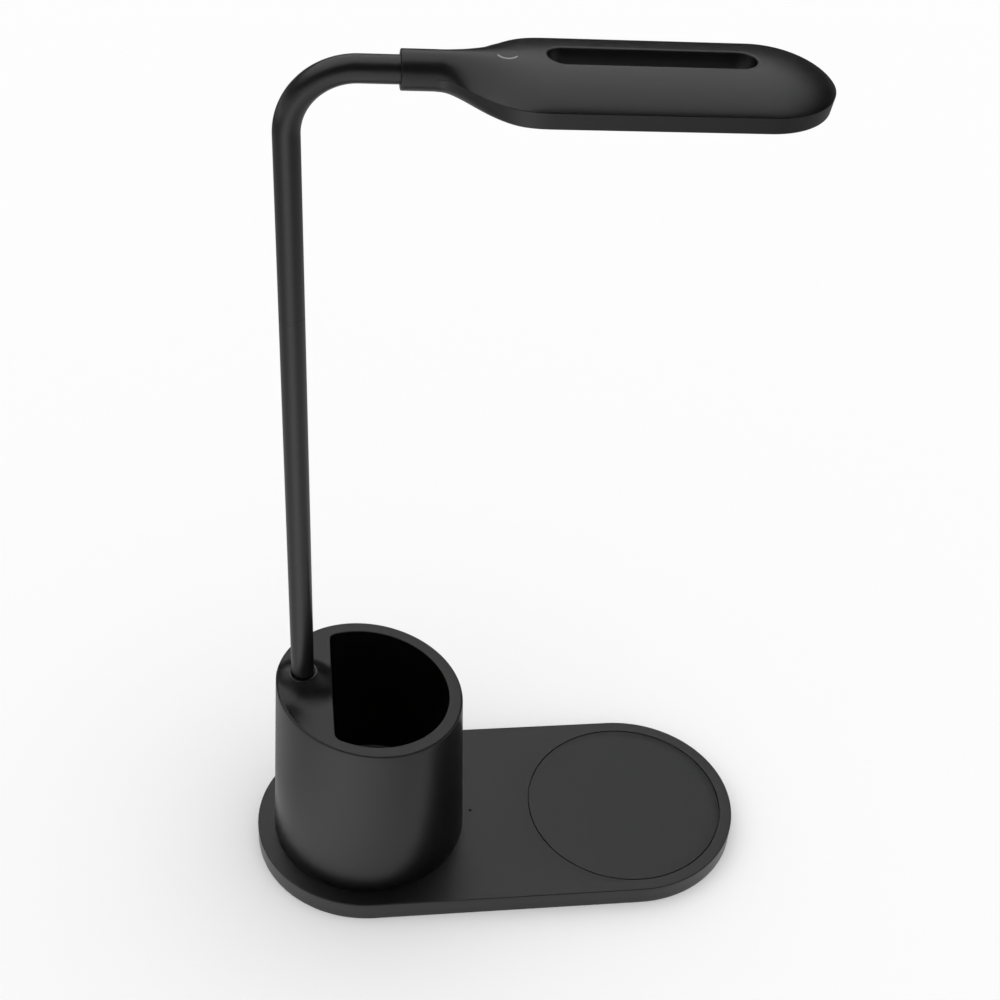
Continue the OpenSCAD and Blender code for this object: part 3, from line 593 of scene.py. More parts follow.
@dataclass
class Cup:
    """The drafted pen cup with its slanted deck, D-shaped pocket and the boss that carries the arm."""

    wardrobe: Wardrobe
    x: float = -48.9
    foot_z: float = Base.top
    foot_r: float = 35.35
    rim_r: float = 32.87
    rim_z: float = 76.95
    slope: float = 0.15481
    rim_edge: float = 0.8
    pocket_edge: float = 0.4
    pocket_r: float = 28.2
    pocket_flat: float = 13.1
    corner_r: float = 3.5
    floor_z: float = 16.0
    floor_round: float = 1.2
    wall: float = 2.2
    inner_wall: float = 1.7
    deck: float = 2.4
    boss_x: float = -72.1
    boss_top: float = 86.5
    boss_ring: float = 5.1
    boss_foot: float = 14.2
    boss_bore: float = 4.1
    boss_lip: float = 0.6
    boss_seat: float = 0.35
    boss_sunk: float = 3.4
    boss_edge: float = 0.14
    hole_r: float = 4.6
    foot_edge: float = 0.3
    flare_power: float = 2.3

    @property
    def draft(self) -> float:
        """How much the wall comes in for each millimetre of height."""
        return (self.foot_r - self.rim_r) / (self.rim_z - self.foot_z)

    def deck_z(self, x: Points) -> Points:
        """Height of the slanted deck at x in the part's frame."""
        return self.rim_z - self.slope * (x - self.x)

    def top_z(self, points: Points) -> Points:
        """Height of the cup's top over points: the slanted deck and the flare that rises to the boss.

        Args:
            points: Points whose x and y count.

        Returns:
            deck + (lip - deck) min(((foot - r) / (foot - ring))^power, seat), with r the distance from
            the boss's axis, seat just over 1 so that the flare ends inside the ring.
        """
        deck = self.deck_z(points[..., 0])
        r = np.hypot(points[..., 0] - self.boss_x, points[..., 1])
        rise = self.boss_top - self.boss_lip - deck
        share = np.clip((self.boss_foot - r) / (self.boss_foot - self.boss_ring), 0.0, None)
        return deck + rise * np.minimum(share**self.flare_power, 1 + self.boss_seat / rise)

    def turns(self) -> Points:
        """Angles round the cup, closer together where the pocket's corners are."""
        centre_x, centre_y = self.corner()
        a = math.atan2(centre_y, centre_x)
        b = math.atan2(centre_y, -self.pocket_flat)
        parts = ((0, a, 64), (a, b, 13), (b, math.pi, 97))
        half = np.concatenate([*(np.linspace(*part)[:-1] for part in parts), [math.pi]])
        return np.concatenate([half, -half[-2:0:-1]])

    def corner(self) -> tuple[float, float]:
        """Centre of the pocket's rounded corner, from the cup's centre."""
        x = self.corner_r - self.pocket_flat
        return x, math.sqrt((self.pocket_r - self.corner_r) ** 2 - x * x)

    def pocket(self, turn: Points, grow: float) -> Points:
        """Distance from the cup's centre to the pocket's wall in each direction.

        Args:
            turn: The directions.
            grow: Moves the wall outwards by this much.

        Returns:
            Round wall r, corner c.d + sqrt((c.d)^2 - c.c + k^2) with k its radius, or flat wall f / cos t.
        """
        x, y = self.corner()
        side = np.abs(np.arctan2(np.sin(turn), np.cos(turn)))
        along = x * np.cos(side) + y * np.sin(side)
        k = self.corner_r + grow
        corner = along + np.sqrt(np.maximum(along**2 - x * x - y * y + k * k, 0.0))
        flat = -(self.pocket_flat + grow) / np.minimum(np.cos(side), -1e-6)
        a, b = math.atan2(y, x), math.atan2(y, -(self.pocket_flat + grow))
        return np.where(side <= a, self.pocket_r + grow, np.where(side < b, corner, flat))

    def at(self, turn: Points, r: Points, z: Points) -> Points:
        """Points at radius r about the cup's axis."""
        return xyz(self.x + r * np.cos(turn), r * np.sin(turn), z)

    def on_top(self, turn: Points, r: Points) -> Points:
        """Points of the cup's top at radius r."""
        return self.at(turn, r, self.top_z(self.at(turn, r, 0.0)))

    def on_wall(self, turn: Points, z: Points) -> Points:
        """Points of the drafted wall at height z: r = foot_r - draft (z - foot_z)."""
        return self.at(turn, self.foot_r - self.draft * (z - self.foot_z), z)

    def under_deck(self, turn: Points, r: Points) -> Points:
        """Points of the underside of the deck at radius r."""
        return self.at(turn, r, self.deck_z(self.x + r * np.cos(turn)) - self.deck)

    def disc(self, turn: Points, r: Points, z: float, shares: tuple[float, ...]) -> Points:
        """Rows of a flat disc whose edge is at radius r, at these shares of r."""
        return np.stack([self.at(turn, r * share, z) for share in shares])

    def shell(self) -> Piece:
        """Builds the cup as one closed skin.

        Returns:
            The mesh. Rows go from the inside under the pocket down to the foot, up the drafted wall, over
            the rim, across the deck and down into the pocket.
        """
        t = self.turns()
        at, top, wall, under, disc = (
            partial(row, t) for row in (self.at, self.on_top, self.on_wall, self.under_deck, self.disc)
        )
        rim = self.rim_r / (1 - self.draft * self.slope * np.cos(t))
        hole, inner = self.pocket(t, 0.0), self.pocket(t, self.inner_wall)
        edge, brim, fillet, floor = self.rim_edge, self.pocket_edge, self.floor_round, self.floor_z
        foot, low, foot_r = self.foot_z, self.foot_z + self.foot_edge, self.foot_r
        rim_z, hole_z = top(rim)[..., 2], top(hole)[..., 2]
        rows = [
            disc(inner, floor - self.inner_wall, (0.0, 0.5, 1.0)),
            np.stack([under(inner), under(rim - self.wall), at(foot_r - self.wall, foot)]),
            rounded(at(foot_r - self.foot_edge, foot), wall(foot), wall(low), 3),
            between(wall(low), wall(rim_z - edge), 24),
            rounded(wall(rim_z - edge), top(rim), top(rim - edge), 6),
            np.stack([top(rim - edge + (hole + brim - rim + edge) * k) for k in np.linspace(0, 1, 57)[1:-1]]),
            rounded(top(hole + brim), top(hole), at(hole, hole_z - brim), 5),
            between(at(hole, hole_z - brim), at(hole, floor + fillet), 12),
            rounded(at(hole, floor + fillet), at(hole, floor), at(hole - fillet, floor), 6),
            disc(hole - fillet, floor, (0.7, 0.35, 0.0)),
        ]
        piece = shape("pen_cup", np.concatenate(rows))
        cut(piece, drill(self.boss_x, self.deck_z(self.boss_x), self.hole_r, 20.0, 64))
        return piece

    def boss(self) -> Piece:
        """Builds the boss's ring, with a rounded lip and a foot that stands in the cup's top."""
        top, foot, e = self.boss_top, self.deck_z(self.boss_x) - self.boss_sunk, self.boss_edge
        inner, outer = self.boss_bore, self.boss_ring
        corners = (
            ((inner, top - e), (inner, top), (inner + e, top)),
            ((outer - e, top), (outer, top), (outer, top - e)),
        )
        lip = [point for corner in corners for point in rounded(*map(np.array, corner), 4)[:, 0]]
        profile = [*lip, (outer, foot), (inner, foot)]
        return revolve("cup_boss", profile, (self.boss_x, 0.0), 96, EDGE_SOFT)

    def build(self) -> None:
        """Builds the two pieces, which ride on the base."""
        self.wardrobe.put(self.shell(), Finish.CHARCOAL, BASE, "cup_shell")
        self.wardrobe.put(self.boss(), Finish.CHARCOAL, BASE)


# ---- arm


@dataclass
class Arm:
    """The soft sleeve over the gooseneck: nine lengths of one tube, each over one joint.

    The one at jointed is two stiff halves that meet round a ball, because bending tears it where the arm
    leans and sways at once.
    """

    wardrobe: Wardrobe
    x: float = Cup.boss_x
    start_z: float = Cup.boss_top
    elbow_z: float = 291.8
    elbow_r: float = 19.0
    drop: float = 1.66
    outer: float = 3.9
    inner: float = 2.8
    step: float = 1.5
    around: int = 48
    elbow_step: float = 0.75
    ends: tuple[float, ...] = (-2.0, 34.5, 66.5, 98.5, 130.5, 162.5, 205.3, 223.207, 235.696, 248.196)
    bodies: tuple[str, ...] = (BASE, *(f"arm_{i}" for i in range(1, 9)), HEAD)
    spans: tuple[tuple[float, float], ...] = (
        (4.5, 32.5), (36.5, 64.5), (68.5, 96.5), (100.5, 128.5), (132.5, 160.5), (164.5, 192.5),
        (206.0, 222.5), (225.5, 235.2), (236.2, 245.2),
    )
    jointed: int = 4
    joint_at: float = 146.5
    joint_gap: float = 0.55
    socket: float = 3.925
    ball_reach: float = 1.6
    ball_bore: float = 3.3

    def line(self, s: Points) -> tuple[Points, Points]:
        """Centre line of the arm and its direction.

        Args:
            s: Distances along it from the boss's ring.

        Returns:
            Points and unit directions: straight up, round the elbow c + R (-cos a, sin a) with
            a = (s - stem) / R, then straight out.
        """
        stem = self.elbow_z - self.start_z
        sweep = math.radians(90 + self.drop)
        a = np.clip((s - stem) / self.elbow_r, 0.0, sweep)
        before = np.minimum(s - stem, 0.0)
        after = np.maximum(s - stem - self.elbow_r * sweep, 0.0)
        way = xyz(np.sin(a), 0.0, np.cos(a))
        x = self.x + self.elbow_r * (1 - np.cos(a)) + after * np.sin(a)
        z = self.elbow_z + self.elbow_r * np.sin(a) + before + after * np.cos(a)
        return xyz(x, 0.0, z), way

    def tube(self, name: str, s: Points) -> Piece:
        """Builds a closed tube over the distances s, with flat ring-shaped ends."""
        centre, way = self.line(s)
        turn, side = circle(self.around)[None, :, None], np.array([0.0, 1.0, 0.0])
        ring = np.cos(turn) * side + np.sin(turn) * np.cross(way, side)[:, None, :]
        outside, inside = (centre[:, None, :] + r * ring for r in (self.outer, self.inner))
        return shape(name, np.concatenate([outside, inside[::-1]]), closed=True, sharp=EDGE_TUBE)

    def half(self, name: str, end: float) -> Piece:
        """Builds one stiff half of the jointed length, from the joint to the distance end.

        Returns:
            The closed tube, whose bore opens at the joint into a round socket r = sqrt(R^2 - d^2), with d
            the distance from the joint and R the socket's radius.
        """
        way, reach = math.copysign(1.0, end - self.joint_at), abs(end - self.joint_at)
        d = np.linspace(self.joint_gap, math.sqrt(self.socket**2 - self.inner**2), 9)
        socket = zip(np.sqrt(self.socket**2 - d**2), d)
        profile = [(self.outer, reach), (self.outer, self.joint_gap), *socket, (self.inner, reach)]
        middle = self.start_z + self.joint_at
        return revolve(name, [(r, middle + way * d) for r, d in profile], (self.x, 0.0), self.around)

    def ball(self, name: str) -> Piece:
        """Builds the ring-shaped ball that shows between the two halves where they bend."""
        d = np.linspace(-self.ball_reach, self.ball_reach, 13)
        outside = zip(np.sqrt(self.outer**2 - d**2), d)
        profile = [*outside, (self.ball_bore, self.ball_reach), (self.ball_bore, -self.ball_reach)]
        middle = self.start_z + self.joint_at
        return revolve(name, [(r, middle + d) for r, d in profile], (self.x, 0.0), self.around)

    def joint(self, name: str, a: float, b: float) -> None:
        """Builds the jointed length between the distances a and b: two halves and the ball."""
        low, high = self.bodies[self.jointed], self.bodies[self.jointed + 1]
        self.wardrobe.put(self.half(name, a), Finish.SILICONE, low, f"sleeve_{self.jointed + 1}")
        self.wardrobe.put(self.half(f"{name}_upper", b), Finish.SILICONE, high)
        self.wardrobe.put(self.ball(f"{name}_ball"), Finish.SILICONE, low)

    def build(self) -> None:
        """Builds the nine lengths, dresses them and shows them in place of the imported sleeves."""
        stem = self.elbow_z - self.start_z
        for i, (a, b) in enumerate(zip(self.ends[:-1], self.ends[1:])):
            name = f"arm_sleeve_{i + 1}"
            if i == self.jointed:
                self.joint(name, a, b)
                continue
            step = self.step if b <= stem else self.elbow_step
            piece = self.tube(name, np.linspace(a, b, max(2, round((b - a) / step)) + 1))
            self.wardrobe.dress(piece, Finish.SILICONE)
            points, _ = self.line(np.array(self.spans[i]))
            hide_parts(f"sleeve_{i + 1}")
            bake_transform(piece)


# ---- head


@dataclass
class Head:
    """The lamp head: crowned upper shell with its slot, lower frame and the touch control with its painted
    highlight.

    Its own frame has the neck's end at 0, u towards the tip, y across and z up.
    """

    wardrobe: Wardrobe
    origin: tuple[float, float] = (-41.554, 310.473)
    drop: float = Arm.drop
    neck: float = 5.5
    bore: float = 4.1
    bore_to: float = 6.0
    half: float = 21.8
    flare_from: float = 10.0
    flare_to: float = 41.0
    flare_power: float = 1.63
    frame_from: float = 9.5
    cut_at: float = 34.0
    nose: float = 97.7
    seam_drop: float = 0.75
    seam_len: float = 12.0
    power_len: float = 8.0
    crown_power: float = 0.61
    crown_lift: float = 0.07
    shoulder_power: float = 0.87
    shoulder_at: float = 23.0
    shoulder_len: float = 8.0
    under_z: float = -5.95
    under_len: float = 14.0
    under_round: float = 0.6
    round_len: float = 22.0
    lean: float = 0.55
    lean_len: float = 20.0
    least_side: float = 0.2
    least_flat: float = 0.05
    chamfer: float = 0.16
    frame_gap: float = 0.03
    frame_lead: float = 0.01
    frame_end: float = 44.0
    frame_on: float = 50.0
    glow_cut: tuple[float, float] = (-9.0, 3.0)
    neck_edge: float = 0.4
    roof: float = -0.15
    rebate: float = -0.75
    slot_r: float = 4.9
    slot_from: float = 44.1
    slot_to: float = 91.7
    slot_edge: float = 0.7
    slot_wall: float = 6.5
    slot_low: float = -4.4
    glow_r: float = 18.7
    glow_to: float = 97.7
    wall: float = 1.8
    wall_start: float = 1.5
    arcs: tuple[int, int, int] = (40, 60, 48)
    touch_at: float = 28.3
    touch_r: float = 2.98
    highlight_stroke: float = 0.56
    # Ends of the painted highlight, centred on the view's direction.
    highlight_arc: tuple[float, float] = (-160.0, -33.0)
    # Ring line round the rest of the touch control's rim: the rim is real, its lighter tone a painted
    # highlight.
    ring_r: float = 3.2
    ring_stroke: float = 0.24
    highlight_lift: float = 0.025
    ring_lift: float = 0.012
    mark_depth: float = 0.35

    def world(self, u: Points, y: Points, z: Points) -> Points:
        """Points of the head's own frame, in the part's frame: turned down by drop about Y."""
        c, s = math.cos(math.radians(self.drop)), math.sin(math.radians(self.drop))
        return xyz(self.origin[0] + u * c + z * s, y, self.origin[1] - u * s + z * c)

    def width(self, u: Points) -> Points:
        """Half width at u: neck + (half - neck) ease(1 - (1 - t)^k), t the share of the flare."""
        t = np.clip((u - self.flare_from) / (self.flare_to - self.flare_from), 0.0, 1.0)
        return self.neck + (self.half - self.neck) * ease(1 - (1 - t) ** self.flare_power)

    def grown(self, u: Points, length: float) -> Points:
        """Smooth share from 0 where the frame starts to 1 at this length beyond it."""
        return ease((u - self.frame_from) / length)

    def seam(self, u: Points) -> Points:
        """Height of the seam at u."""
        return -self.seam_drop * self.grown(u, self.seam_len)

    def power(self, u: Points) -> Points:
        """Shape of the crown at u: 0.5 is round, and over 1 has a hollow shoulder."""
        off = (u - self.shoulder_at) / self.shoulder_len
        body = self.crown_power + self.shoulder_power * np.exp(-(off**2))
        return mix(0.5, body, self.grown(u, self.power_len))

    def dome(self, u: Points, inner: Points) -> Points:
        """Share of the crown's height at u where inner, 1 - q^2, goes from 0 at the edge to 1.

        Args:
            u: Distances along the head.
            inner: 1 - q^2, with q the share of the way from the middle to the edge.

        Returns:
            ((inner + e)^p - e^p) / ((1 + e)^p - e^p), p the power at u, so that the edge isn't upright.
        """
        p, e = self.power(u), self.crown_lift * self.grown(u, self.power_len)
        return ((inner + e) ** p - e**p) / ((1 + e) ** p - e**p)

    def crown(self, u: Points, y: Points) -> Points:
        """Height of the crown over (u, y), with q the share of the way to the edge."""
        q = np.where(u > self.nose, np.hypot(u - self.nose, y) / self.half, np.abs(y) / self.width(u))
        seam = self.seam(u)
        return seam + (self.neck - seam) * self.dome(u, np.maximum(1 - q * q, 0.0))

    def edge(self, inset: float) -> tuple[Points, Points]:
        """Outline of the crown beyond the cut across the shoulder, set in by inset, as u and y."""
        n, m, k = self.arcs
        a = np.linspace(0.0, math.pi, n + 1)
        w = float(self.width(np.array(self.cut_at))) - inset
        u1 = np.linspace(self.cut_at, self.nose, m + 1)[1:-1]
        b = np.linspace(-math.pi / 2, math.pi / 2, k + 1)
        side = self.width(u1) - inset
        nose = self.half - inset
        u = np.concatenate([np.full(n + 1, self.cut_at), u1, self.nose + nose * np.cos(b), u1[::-1]])
        y = np.concatenate([w * np.cos(a), -side, nose * np.sin(b), side[::-1]])
        return u, y

    def slot(self, r: float) -> tuple[Points, Points]:
        """Outline about the slot at radius r, with the same count of points as edge()."""
        n, m, k = self.arcs
        a = np.linspace(math.pi / 2, 3 * math.pi / 2, n + 1)
        b = np.linspace(-math.pi / 2, math.pi / 2, k + 1)
        u1 = np.linspace(self.slot_from, self.slot_to, m + 1)[1:-1]
        u = np.concatenate([self.slot_from + r * np.cos(a), u1, self.slot_to + r * np.cos(b), u1[::-1]])
        y = np.concatenate([r * np.sin(a), np.full(m - 1, -r), r * np.sin(b), np.full(m - 1, r)])
        return u, y

    def upper(self) -> Piece:
        """Builds the upper shell with its neck.

        Returns:
            The closed mesh, of a neck tube, a shoulder lofted from the neck's circle to the crown's
            section, and a body whose rows run from the edge to the slot and down its wall.
        """
        a = np.linspace(0.0, math.pi, self.arcs[0] + 1)
        ring, e = self.ring, self.neck_edge
        neck = [
            ring(0.0, self.bore_to)[None],
            ring(self.bore, self.bore_to)[None],
            ring(self.bore, 0.0)[None],
            rounded(ring(self.neck - e, 0.0), ring(self.neck, 0.0), ring(self.neck, e), 5),
            between(ring(self.neck, e), ring(self.neck, self.frame_from), 6),
            ring(self.neck, self.frame_from)[None],
        ]
        skin = Skin()
        skin.grid(np.concatenate(neck), round_cols=True)
        under = np.linspace(0, 1, 9)[:, None]
        skin.grid(self.world(self.frame_from, self.neck * np.cos(a), -self.neck * np.sin(a) * (1 - under)))
        u = self.frame_from + (self.cut_at - self.frame_from) * np.linspace(0.0, 1.0, 50)[:, None]
        y, seam = self.width(u) * np.cos(a), self.seam(u)
        rise = (self.neck - seam) * self.dome(u, np.sin(a) ** 2)
        skin.grid(self.world(u, y, seam + rise))
        skin.grid(self.world(u, y, seam))
        skin.grid(self.body(), round_cols=True)
        return skin.piece("head_crown", EDGE_SOFT)

    def ring(self, r: float, u: float) -> Points:
        """Circle about the neck's axis at u, whose points meet those of the shoulder."""
        a = np.linspace(0.0, math.pi, self.arcs[0] + 1)
        loop = np.concatenate([a, a[1:-1] + math.pi])
        return self.world(u, r * np.cos(loop), r * np.sin(loop))

    def slot_row(self, r: float, z: float) -> Points:
        """Row of points about the slot at radius r and height z."""
        return self.world(*self.slot(r), z)

    def body(self) -> Points:
        """Rows of the crown's body, from the edge over the crown, down the slot and back below."""
        ue, ye = self.edge(0.0)
        us, ys = self.slot(self.slot_r + self.slot_edge)
        t = (1 - np.cos(np.linspace(0.0, math.pi / 2, 33)))[:, None]
        u, y = ue + (us - ue) * t, ye + (ys - ye) * t
        z = self.crown(u, y)
        on_cut = np.arange(len(ue)) <= self.arcs[0]
        z[0] = np.where(on_cut, z[0], self.seam(ue))
        u0, y0 = self.slot(self.slot_r)
        z0 = self.crown(u0, y0)
        at, row = self.world, self.slot_row
        wall_u, wall_y = self.edge(self.wall)
        wall_u = np.where(on_cut, self.cut_at + self.wall_start, wall_u)
        rows = [
            at(u, y, z),
            rounded(at(us, ys, z[-1]), at(u0, y0, z0), at(u0, y0, z0 - self.slot_edge), 6)[1:],
            between(at(u0, y0, z0 - self.slot_edge), row(self.slot_r, self.slot_low), 4),
            np.stack([row(self.slot_r, self.slot_low), row(self.slot_wall, self.slot_low)]),
            np.stack([row(self.slot_wall, self.roof), at(wall_u, wall_y, self.roof)]),
            np.stack([at(wall_u, wall_y, self.rebate), at(ue, ye, self.seam(ue))]),
        ]
        return np.concatenate(rows)

    def section(self, u: Points, top: float) -> tuple[Points, Points]:
        """Section of the lower frame from the bottom's middle out to the seam, as y and z for each u.

        Args:
            u: Distances along the head, (rows, 1).
            top: How far below the seam the side ends.

        Returns:
            y and z, (rows, columns): bottom, quarter round of radius r, side leaning out, top chamfer.
        """
        w, s = self.width(u), self.seam(u) - top
        foot = w - self.lean * self.grown(u, self.lean_len)
        z = mix(-self.neck, self.under_z, self.grown(u, self.under_len))
        r = mix(self.neck, self.under_round, self.grown(u, self.round_len))
        r = np.minimum(np.minimum(r, s - z - self.least_side), foot - self.least_flat)
        a = np.linspace(0.0, math.pi / 2, 9)[None, :]
        bottom = np.linspace(0.0, 1.0, 5)[None, :-1]
        side = np.linspace(0.0, 1.0, 6)[None, 1:]
        slant = self.chamfer
        arc_y, arc_z = foot - r + r * np.sin(a), z + r - r * np.cos(a)
        side_y = arc_y[:, -1:] + (w - arc_y[:, -1:]) * side
        side_z = arc_z[:, -1:] + (s - slant - arc_z[:, -1:]) * side
        y = np.hstack([(foot - r) * bottom, arc_y, side_y, w - slant, w * 0])
        return y, np.hstack([z + 0 * bottom, arc_z, side_z, s, s])

    def lower(self) -> Piece:
        """Builds the lower frame: lofted sides, a turned nose and the opening for the diffuser."""
        start = self.frame_from + self.frame_lead
        rows = (np.linspace(start, self.frame_end, 60), np.linspace(self.frame_on, self.nose, 12))
        u = np.concatenate(rows)[:, None]
        y, z = self.section(u, self.frame_gap)
        skin = Skin()
        for sign in (-1, 1):
            skin.grid(self.world(u, sign * y, z))
        skin.grid(np.stack([self.world(u[0], k * y[0], z[0]) for k in (-1.0, -0.5, 0.0, 0.5, 1.0)]))
        turn = np.linspace(-math.pi / 2, math.pi / 2, 65)[:, None]
        skin.grid(self.world(self.nose + y[-1:] * np.cos(turn), y[-1:] * np.sin(turn), z[-1:]))
        piece = skin.piece("head_frame", EDGE_SOFT)
        across, y = stadium(self.slot_from, self.glow_to, self.glow_r, 64)
        middle = (self.slot_from + self.glow_to) / 2
        tool = [
            self.world(middle + (across - middle) * share, y * share, height)
            for share, height in plug(*self.glow_cut)
        ]
        cut(piece, shape("glow_tool", np.stack(tool)), EDGE_SOFT)
        return piece

    def arc(self, name: str, r: float, stroke: float, turn: Points, lift: float) -> Piece:
        """Builds a thin arc about the touch control that follows the crown.

        Args:
            name: Name of the piece.
            r: Radius of its middle line.
            stroke: Its width, which goes down to a third in the last tenth at each end.
            turn: Angles from the tip's direction along it.
            lift: How far its face stands over the crown.

        Returns:
            The closed mesh: u = at + (r + k) cos t, y = (r + k) sin t with k across the stroke.
        """
        share = np.linspace(0.0, 1.0, len(turn))
        taper = 1 / 3 + 2 / 3 * np.clip(np.minimum(share, 1 - share) / 0.1, 0.0, 1.0) ** 0.5
        across = np.array([-0.5, -0.3, 0.0, 0.3, 0.5])[:, None] * stroke * taper
        crest = np.array([0.4, 1.0, 1.0, 1.0, 0.4])[:, None] * lift
        u = self.touch_at + (r + across) * np.cos(turn)
        y = (r + across) * np.sin(turn)
        z = self.crown(u, y)
        skin = Skin()
        top, low = self.world(u, y, z + crest), self.world(u, y, z - self.mark_depth)
        skin.grid(np.concatenate([top, low[::-1]]), round_rows=True)
        for end in (0, -1):
            skin.grid(np.stack([top[:, end], low[:, end]]))
        return skin.piece(name)

    def painted_highlights(self) -> tuple[Piece, Piece]:
        """Builds the light arc that paints the highlight on the touch control's near rim and the thin ring
        line beyond it, whose lighter finish paints the rim's faint highlight.
        """
        a, b = np.radians(self.highlight_arc)
        # The painted highlight covers the near half about the view's direction; the ring line closes the
        # rest.
        mark = np.linspace(a, b, 49), self.highlight_lift
        ring = np.linspace(b, a + 2 * math.pi, 81), self.ring_lift
        return (
            self.arc("touch_painted_highlight", self.touch_r, self.highlight_stroke, *mark),
            self.arc("touch_ring_highlight", self.ring_r, self.ring_stroke, *ring),
        )

    def build(self) -> None:
        """Builds the four pieces, which ride on the head."""
        mark, ring = self.painted_highlights()
        for piece, finish, nodes in (
            (self.upper(), Finish.CHARCOAL, ["head_upper_shell"]),
            (self.lower(), Finish.CHARCOAL, ["head_lower_frame"]),
            # Painted highlight on the touch control's near rim.
            (mark, Finish.ICON, ["touch_icon"]),
            # Real rim line in the pad's lighter finish, which paints its faint highlight.
            (ring, Finish.PAD, []),
        ):
            self.wardrobe.dress(piece, finish)
            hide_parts(*nodes)
            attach(piece, HEAD)


# ---- parts shown as packed


@dataclass
class PackedParts:
    """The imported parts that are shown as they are, each with its finish."""

    wardrobe: Wardrobe
    FINISHES: ClassVar[dict[Finish, tuple[str, ...]]] = {
        Finish.BLACK: ("base_bottom_cover",),
        Finish.FOOT: ("rubber_feet",),
        Finish.STEEL: (
            "cover_screws", "cup_screws", "head_screws", "usb_socket",
            "arm_lower_ferrule", "arm_upper_ferrule", "arm_washer", "arm_nut",
        ),
        Finish.BALLAST: ("ballast_plate",),
        Finish.COPPER: ("charge_coil",),
        Finish.FERRITE: ("coil_ferrite",),
        Finish.GREEN_BOARD: ("charger_board",),
        Finish.CHIP: ("board_parts",),
        Finish.MILKY: ("diffuser",),
        Finish.WHITE_BOARD: ("led_board",),
        Finish.LED: ("led_chips",),
        Finish.BRASS: ("touch_sensor",),
        Finish.SMOKED: ("indicator_lens",),
        Finish.GOOSENECK: tuple(f"core_{i}" for i in range(10)),
    }

    def build(self) -> None:
        """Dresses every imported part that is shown."""
        for finish, nodes in self.FINISHES.items():
            for node in nodes:
                self.wardrobe.dress_node(node, finish)


# ---- studio


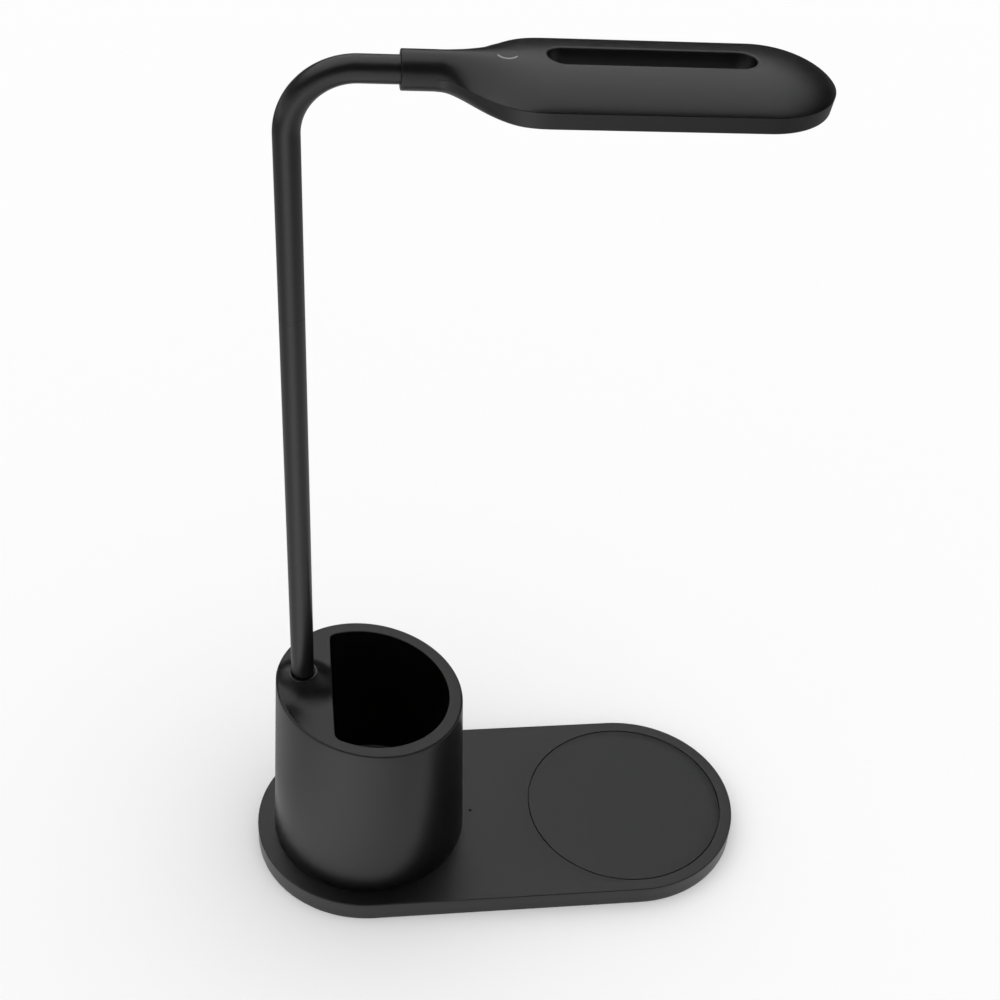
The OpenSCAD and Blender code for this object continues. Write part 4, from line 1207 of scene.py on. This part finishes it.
@dataclass
class Studio:
    """The camera that matches the photo's view, the pale floor and the soft light."""

    lens: float = 61.005
    place: tuple[float, float, float] = (-0.0726688, -0.4185886, 0.5094267)
    right: tuple[float, float, float] = (0.99231715, -0.11223336, 0.05206092)
    up: tuple[float, float, float] = (0.03158787, 0.63668256, 0.77047876)
    away: tuple[float, float, float] = (0.1196197, 0.7629148, -0.63533624)
    sides: tuple[tuple[float, ...], ...] = (
        (0.03, 30, 75, 0.3, 20),
        (0.03, 17, 28, 0.0, 20),
        (0.08, 25, 50, 0.8, 24),
        (0.05, 62, 86, 0.6, 20),
    )
    floor_half: float = 30.0
    floor_white: float = 0.985
    bowl_r: float = 1.5
    bowl_z: float = 0.2
    bowl_from: float = -7.6
    ground_z: float = 0.0004
    ground_at: tuple[float, float] = (-0.06, 0.02)
    ground_way: float = -15.0
    ground_spread: float = 60.0
    ground_tighter: float = 8.0
    ground_side: float = 0.50
    ground_end: float = 0.03
    ground_reach: float = 1.2
    ground_rim: float = 0.03

    def camera(self) -> None:
        """Makes the camera."""
        data = bpy.data.cameras.new("camera")
        data.lens, data.sensor_width = self.lens, 36.0
        data.clip_start, data.clip_end = 0.01, 50.0
        camera = place_object("camera", data)
        turned = Matrix([self.right, self.up, [-v for v in self.away]]).transposed().to_4x4()
        turned.translation = self.place
        camera.matrix_world = turned
        bpy.context.scene.camera = camera

    def floor(self) -> None:
        """Makes the floor, pale enough to go over into the white ground behind it."""
        w = self.floor_half
        mesh = bpy.data.meshes.new("floor")
        mesh.from_pydata([(-w, -w, 0), (w, -w, 0), (w, w, 0), (-w, w, 0)], [], [(0, 1, 2, 3)])
        material, shader = new_material("floor")
        set_inputs(shader, Base_Color=(*[self.floor_white] * 3, 1.0), Roughness=1.0, Specular_IOR_Level=0.0)
        mesh.materials.append(material)
        place_object("floor", mesh)

    def world(self) -> None:
        """Makes the white surround, plain white behind the object."""
        world = bpy.data.worlds.new("world")
        bpy.context.scene.world = world
        world.use_nodes = True
        set_inputs(world.node_tree.nodes["Background"], Color=(1.0, 1.0, 1.0, 1.0), Strength=1.0)

    def bowl(self) -> tuple[Points, Points]:
        """The surround's bowl, in metres.

        Returns:
            Points and their grey: dark + (1 - dark) ease((e - low) / (high - low)) over the elevation e, or
            the horizon's glow (1 - ease(e / glow_end)) where that is more. All five blend between the sides
            at right, back, left and front by the square of the cosine.
        """
        turn, degrees = np.meshgrid(np.linspace(0, 2 * math.pi, 97), np.linspace(self.bowl_from, 90.0, 50))
        rise = np.radians(degrees)
        points = xyz(np.cos(turn) * np.cos(rise), np.sin(turn) * np.cos(rise), np.sin(rise))
        weights = np.stack([np.cos(turn), np.sin(turn), -np.cos(turn), -np.sin(turn)]).clip(0.0) ** 2
        dark, low, high, glow, glow_end = np.tensordot(np.array(self.sides).T, weights, axes=1)
        grey = dark + (1 - dark) * ease((degrees - low) / (high - low))
        grey = np.maximum(grey, glow * (1 - ease(degrees / glow_end)))
        return points * self.bowl_r + [0, 0, self.bowl_z], grey

    def ground(self) -> tuple[Points, Points]:
        """The surround's ground, in metres.

        Returns:
            Points and their grey: side + (1 - side) (1 - ease(turn / spread)), with turn the angle from
            ground_way as seen from ground_at, spread less by ground_tighter at half a metre and
            side = ground_end + ground_side (1 - ease(distance / ground_reach)), but white within
            ground_rim of the base.
        """
        x, y = np.meshgrid(*[np.linspace(-self.bowl_r, self.bowl_r, 301)] * 2)
        from_x, from_y = x - self.ground_at[0], y - self.ground_at[1]
        distance = np.hypot(from_x, from_y)
        side = self.ground_end + self.ground_side * (1 - ease(distance / self.ground_reach))
        turned = np.abs(np.degrees(np.arctan2(from_x, -from_y)) - self.ground_way)
        grey = 1 - (1 - side) * ease(turned / (self.ground_spread - self.ground_tighter * ease(distance * 2)))
        off_base = np.hypot(x - np.clip(x, -Base.half * MM, Base.half * MM), y) - Base.radius * MM
        return xyz(x, y, self.ground_z), np.maximum(grey, 1 - ease(off_base / self.ground_rim))

    def surround(self) -> None:
        """Makes the bowl and the ground that only show as reflections in the satin finishes."""
        skin, greys = Skin(), []
        for points, grey in (self.bowl(), self.ground()):
            skin.grid(points)
            greys.append(grey.ravel())
        mesh = bpy.data.meshes.new("surround")
        mesh.from_pydata(np.vstack(skin.points), [], np.vstack(skin.quads).tolist())
        shade = mesh.attributes.new("shade", "FLOAT", "POINT")
        shade.data.foreach_set("value", np.concatenate(greys).astype(np.float32))
        smooth(mesh, 180.0)
        material, shader = new_material("surround")
        set_inputs(shader, Specular_IOR_Level=0.0)
        grey = material.node_tree.nodes.new("ShaderNodeAttribute")
        grey.attribute_name = shade.name
        material.node_tree.links.new(grey.outputs["Fac"], shader.inputs["Base Color"])
        mesh.materials.append(material)
        piece = place_object("surround", mesh)
        piece.visible_camera = piece.visible_diffuse = piece.visible_shadow = False

    def build(self) -> None:
        """Sets up camera, floor and light."""
        self.camera()
        self.floor()
        self.world()
        self.surround()
        bpy.context.scene.view_settings.view_transform = "Standard"


def main() -> None:
    """Builds the classes in order and reports each."""
    wardrobe = Wardrobe()
    for builder in (*(part(wardrobe) for part in (Base, Cup, Arm, Head, PackedParts)), Studio()):
        builder.build()
        log.info("%s built", type(builder).__name__)


if __name__ == "__main__":
    main()
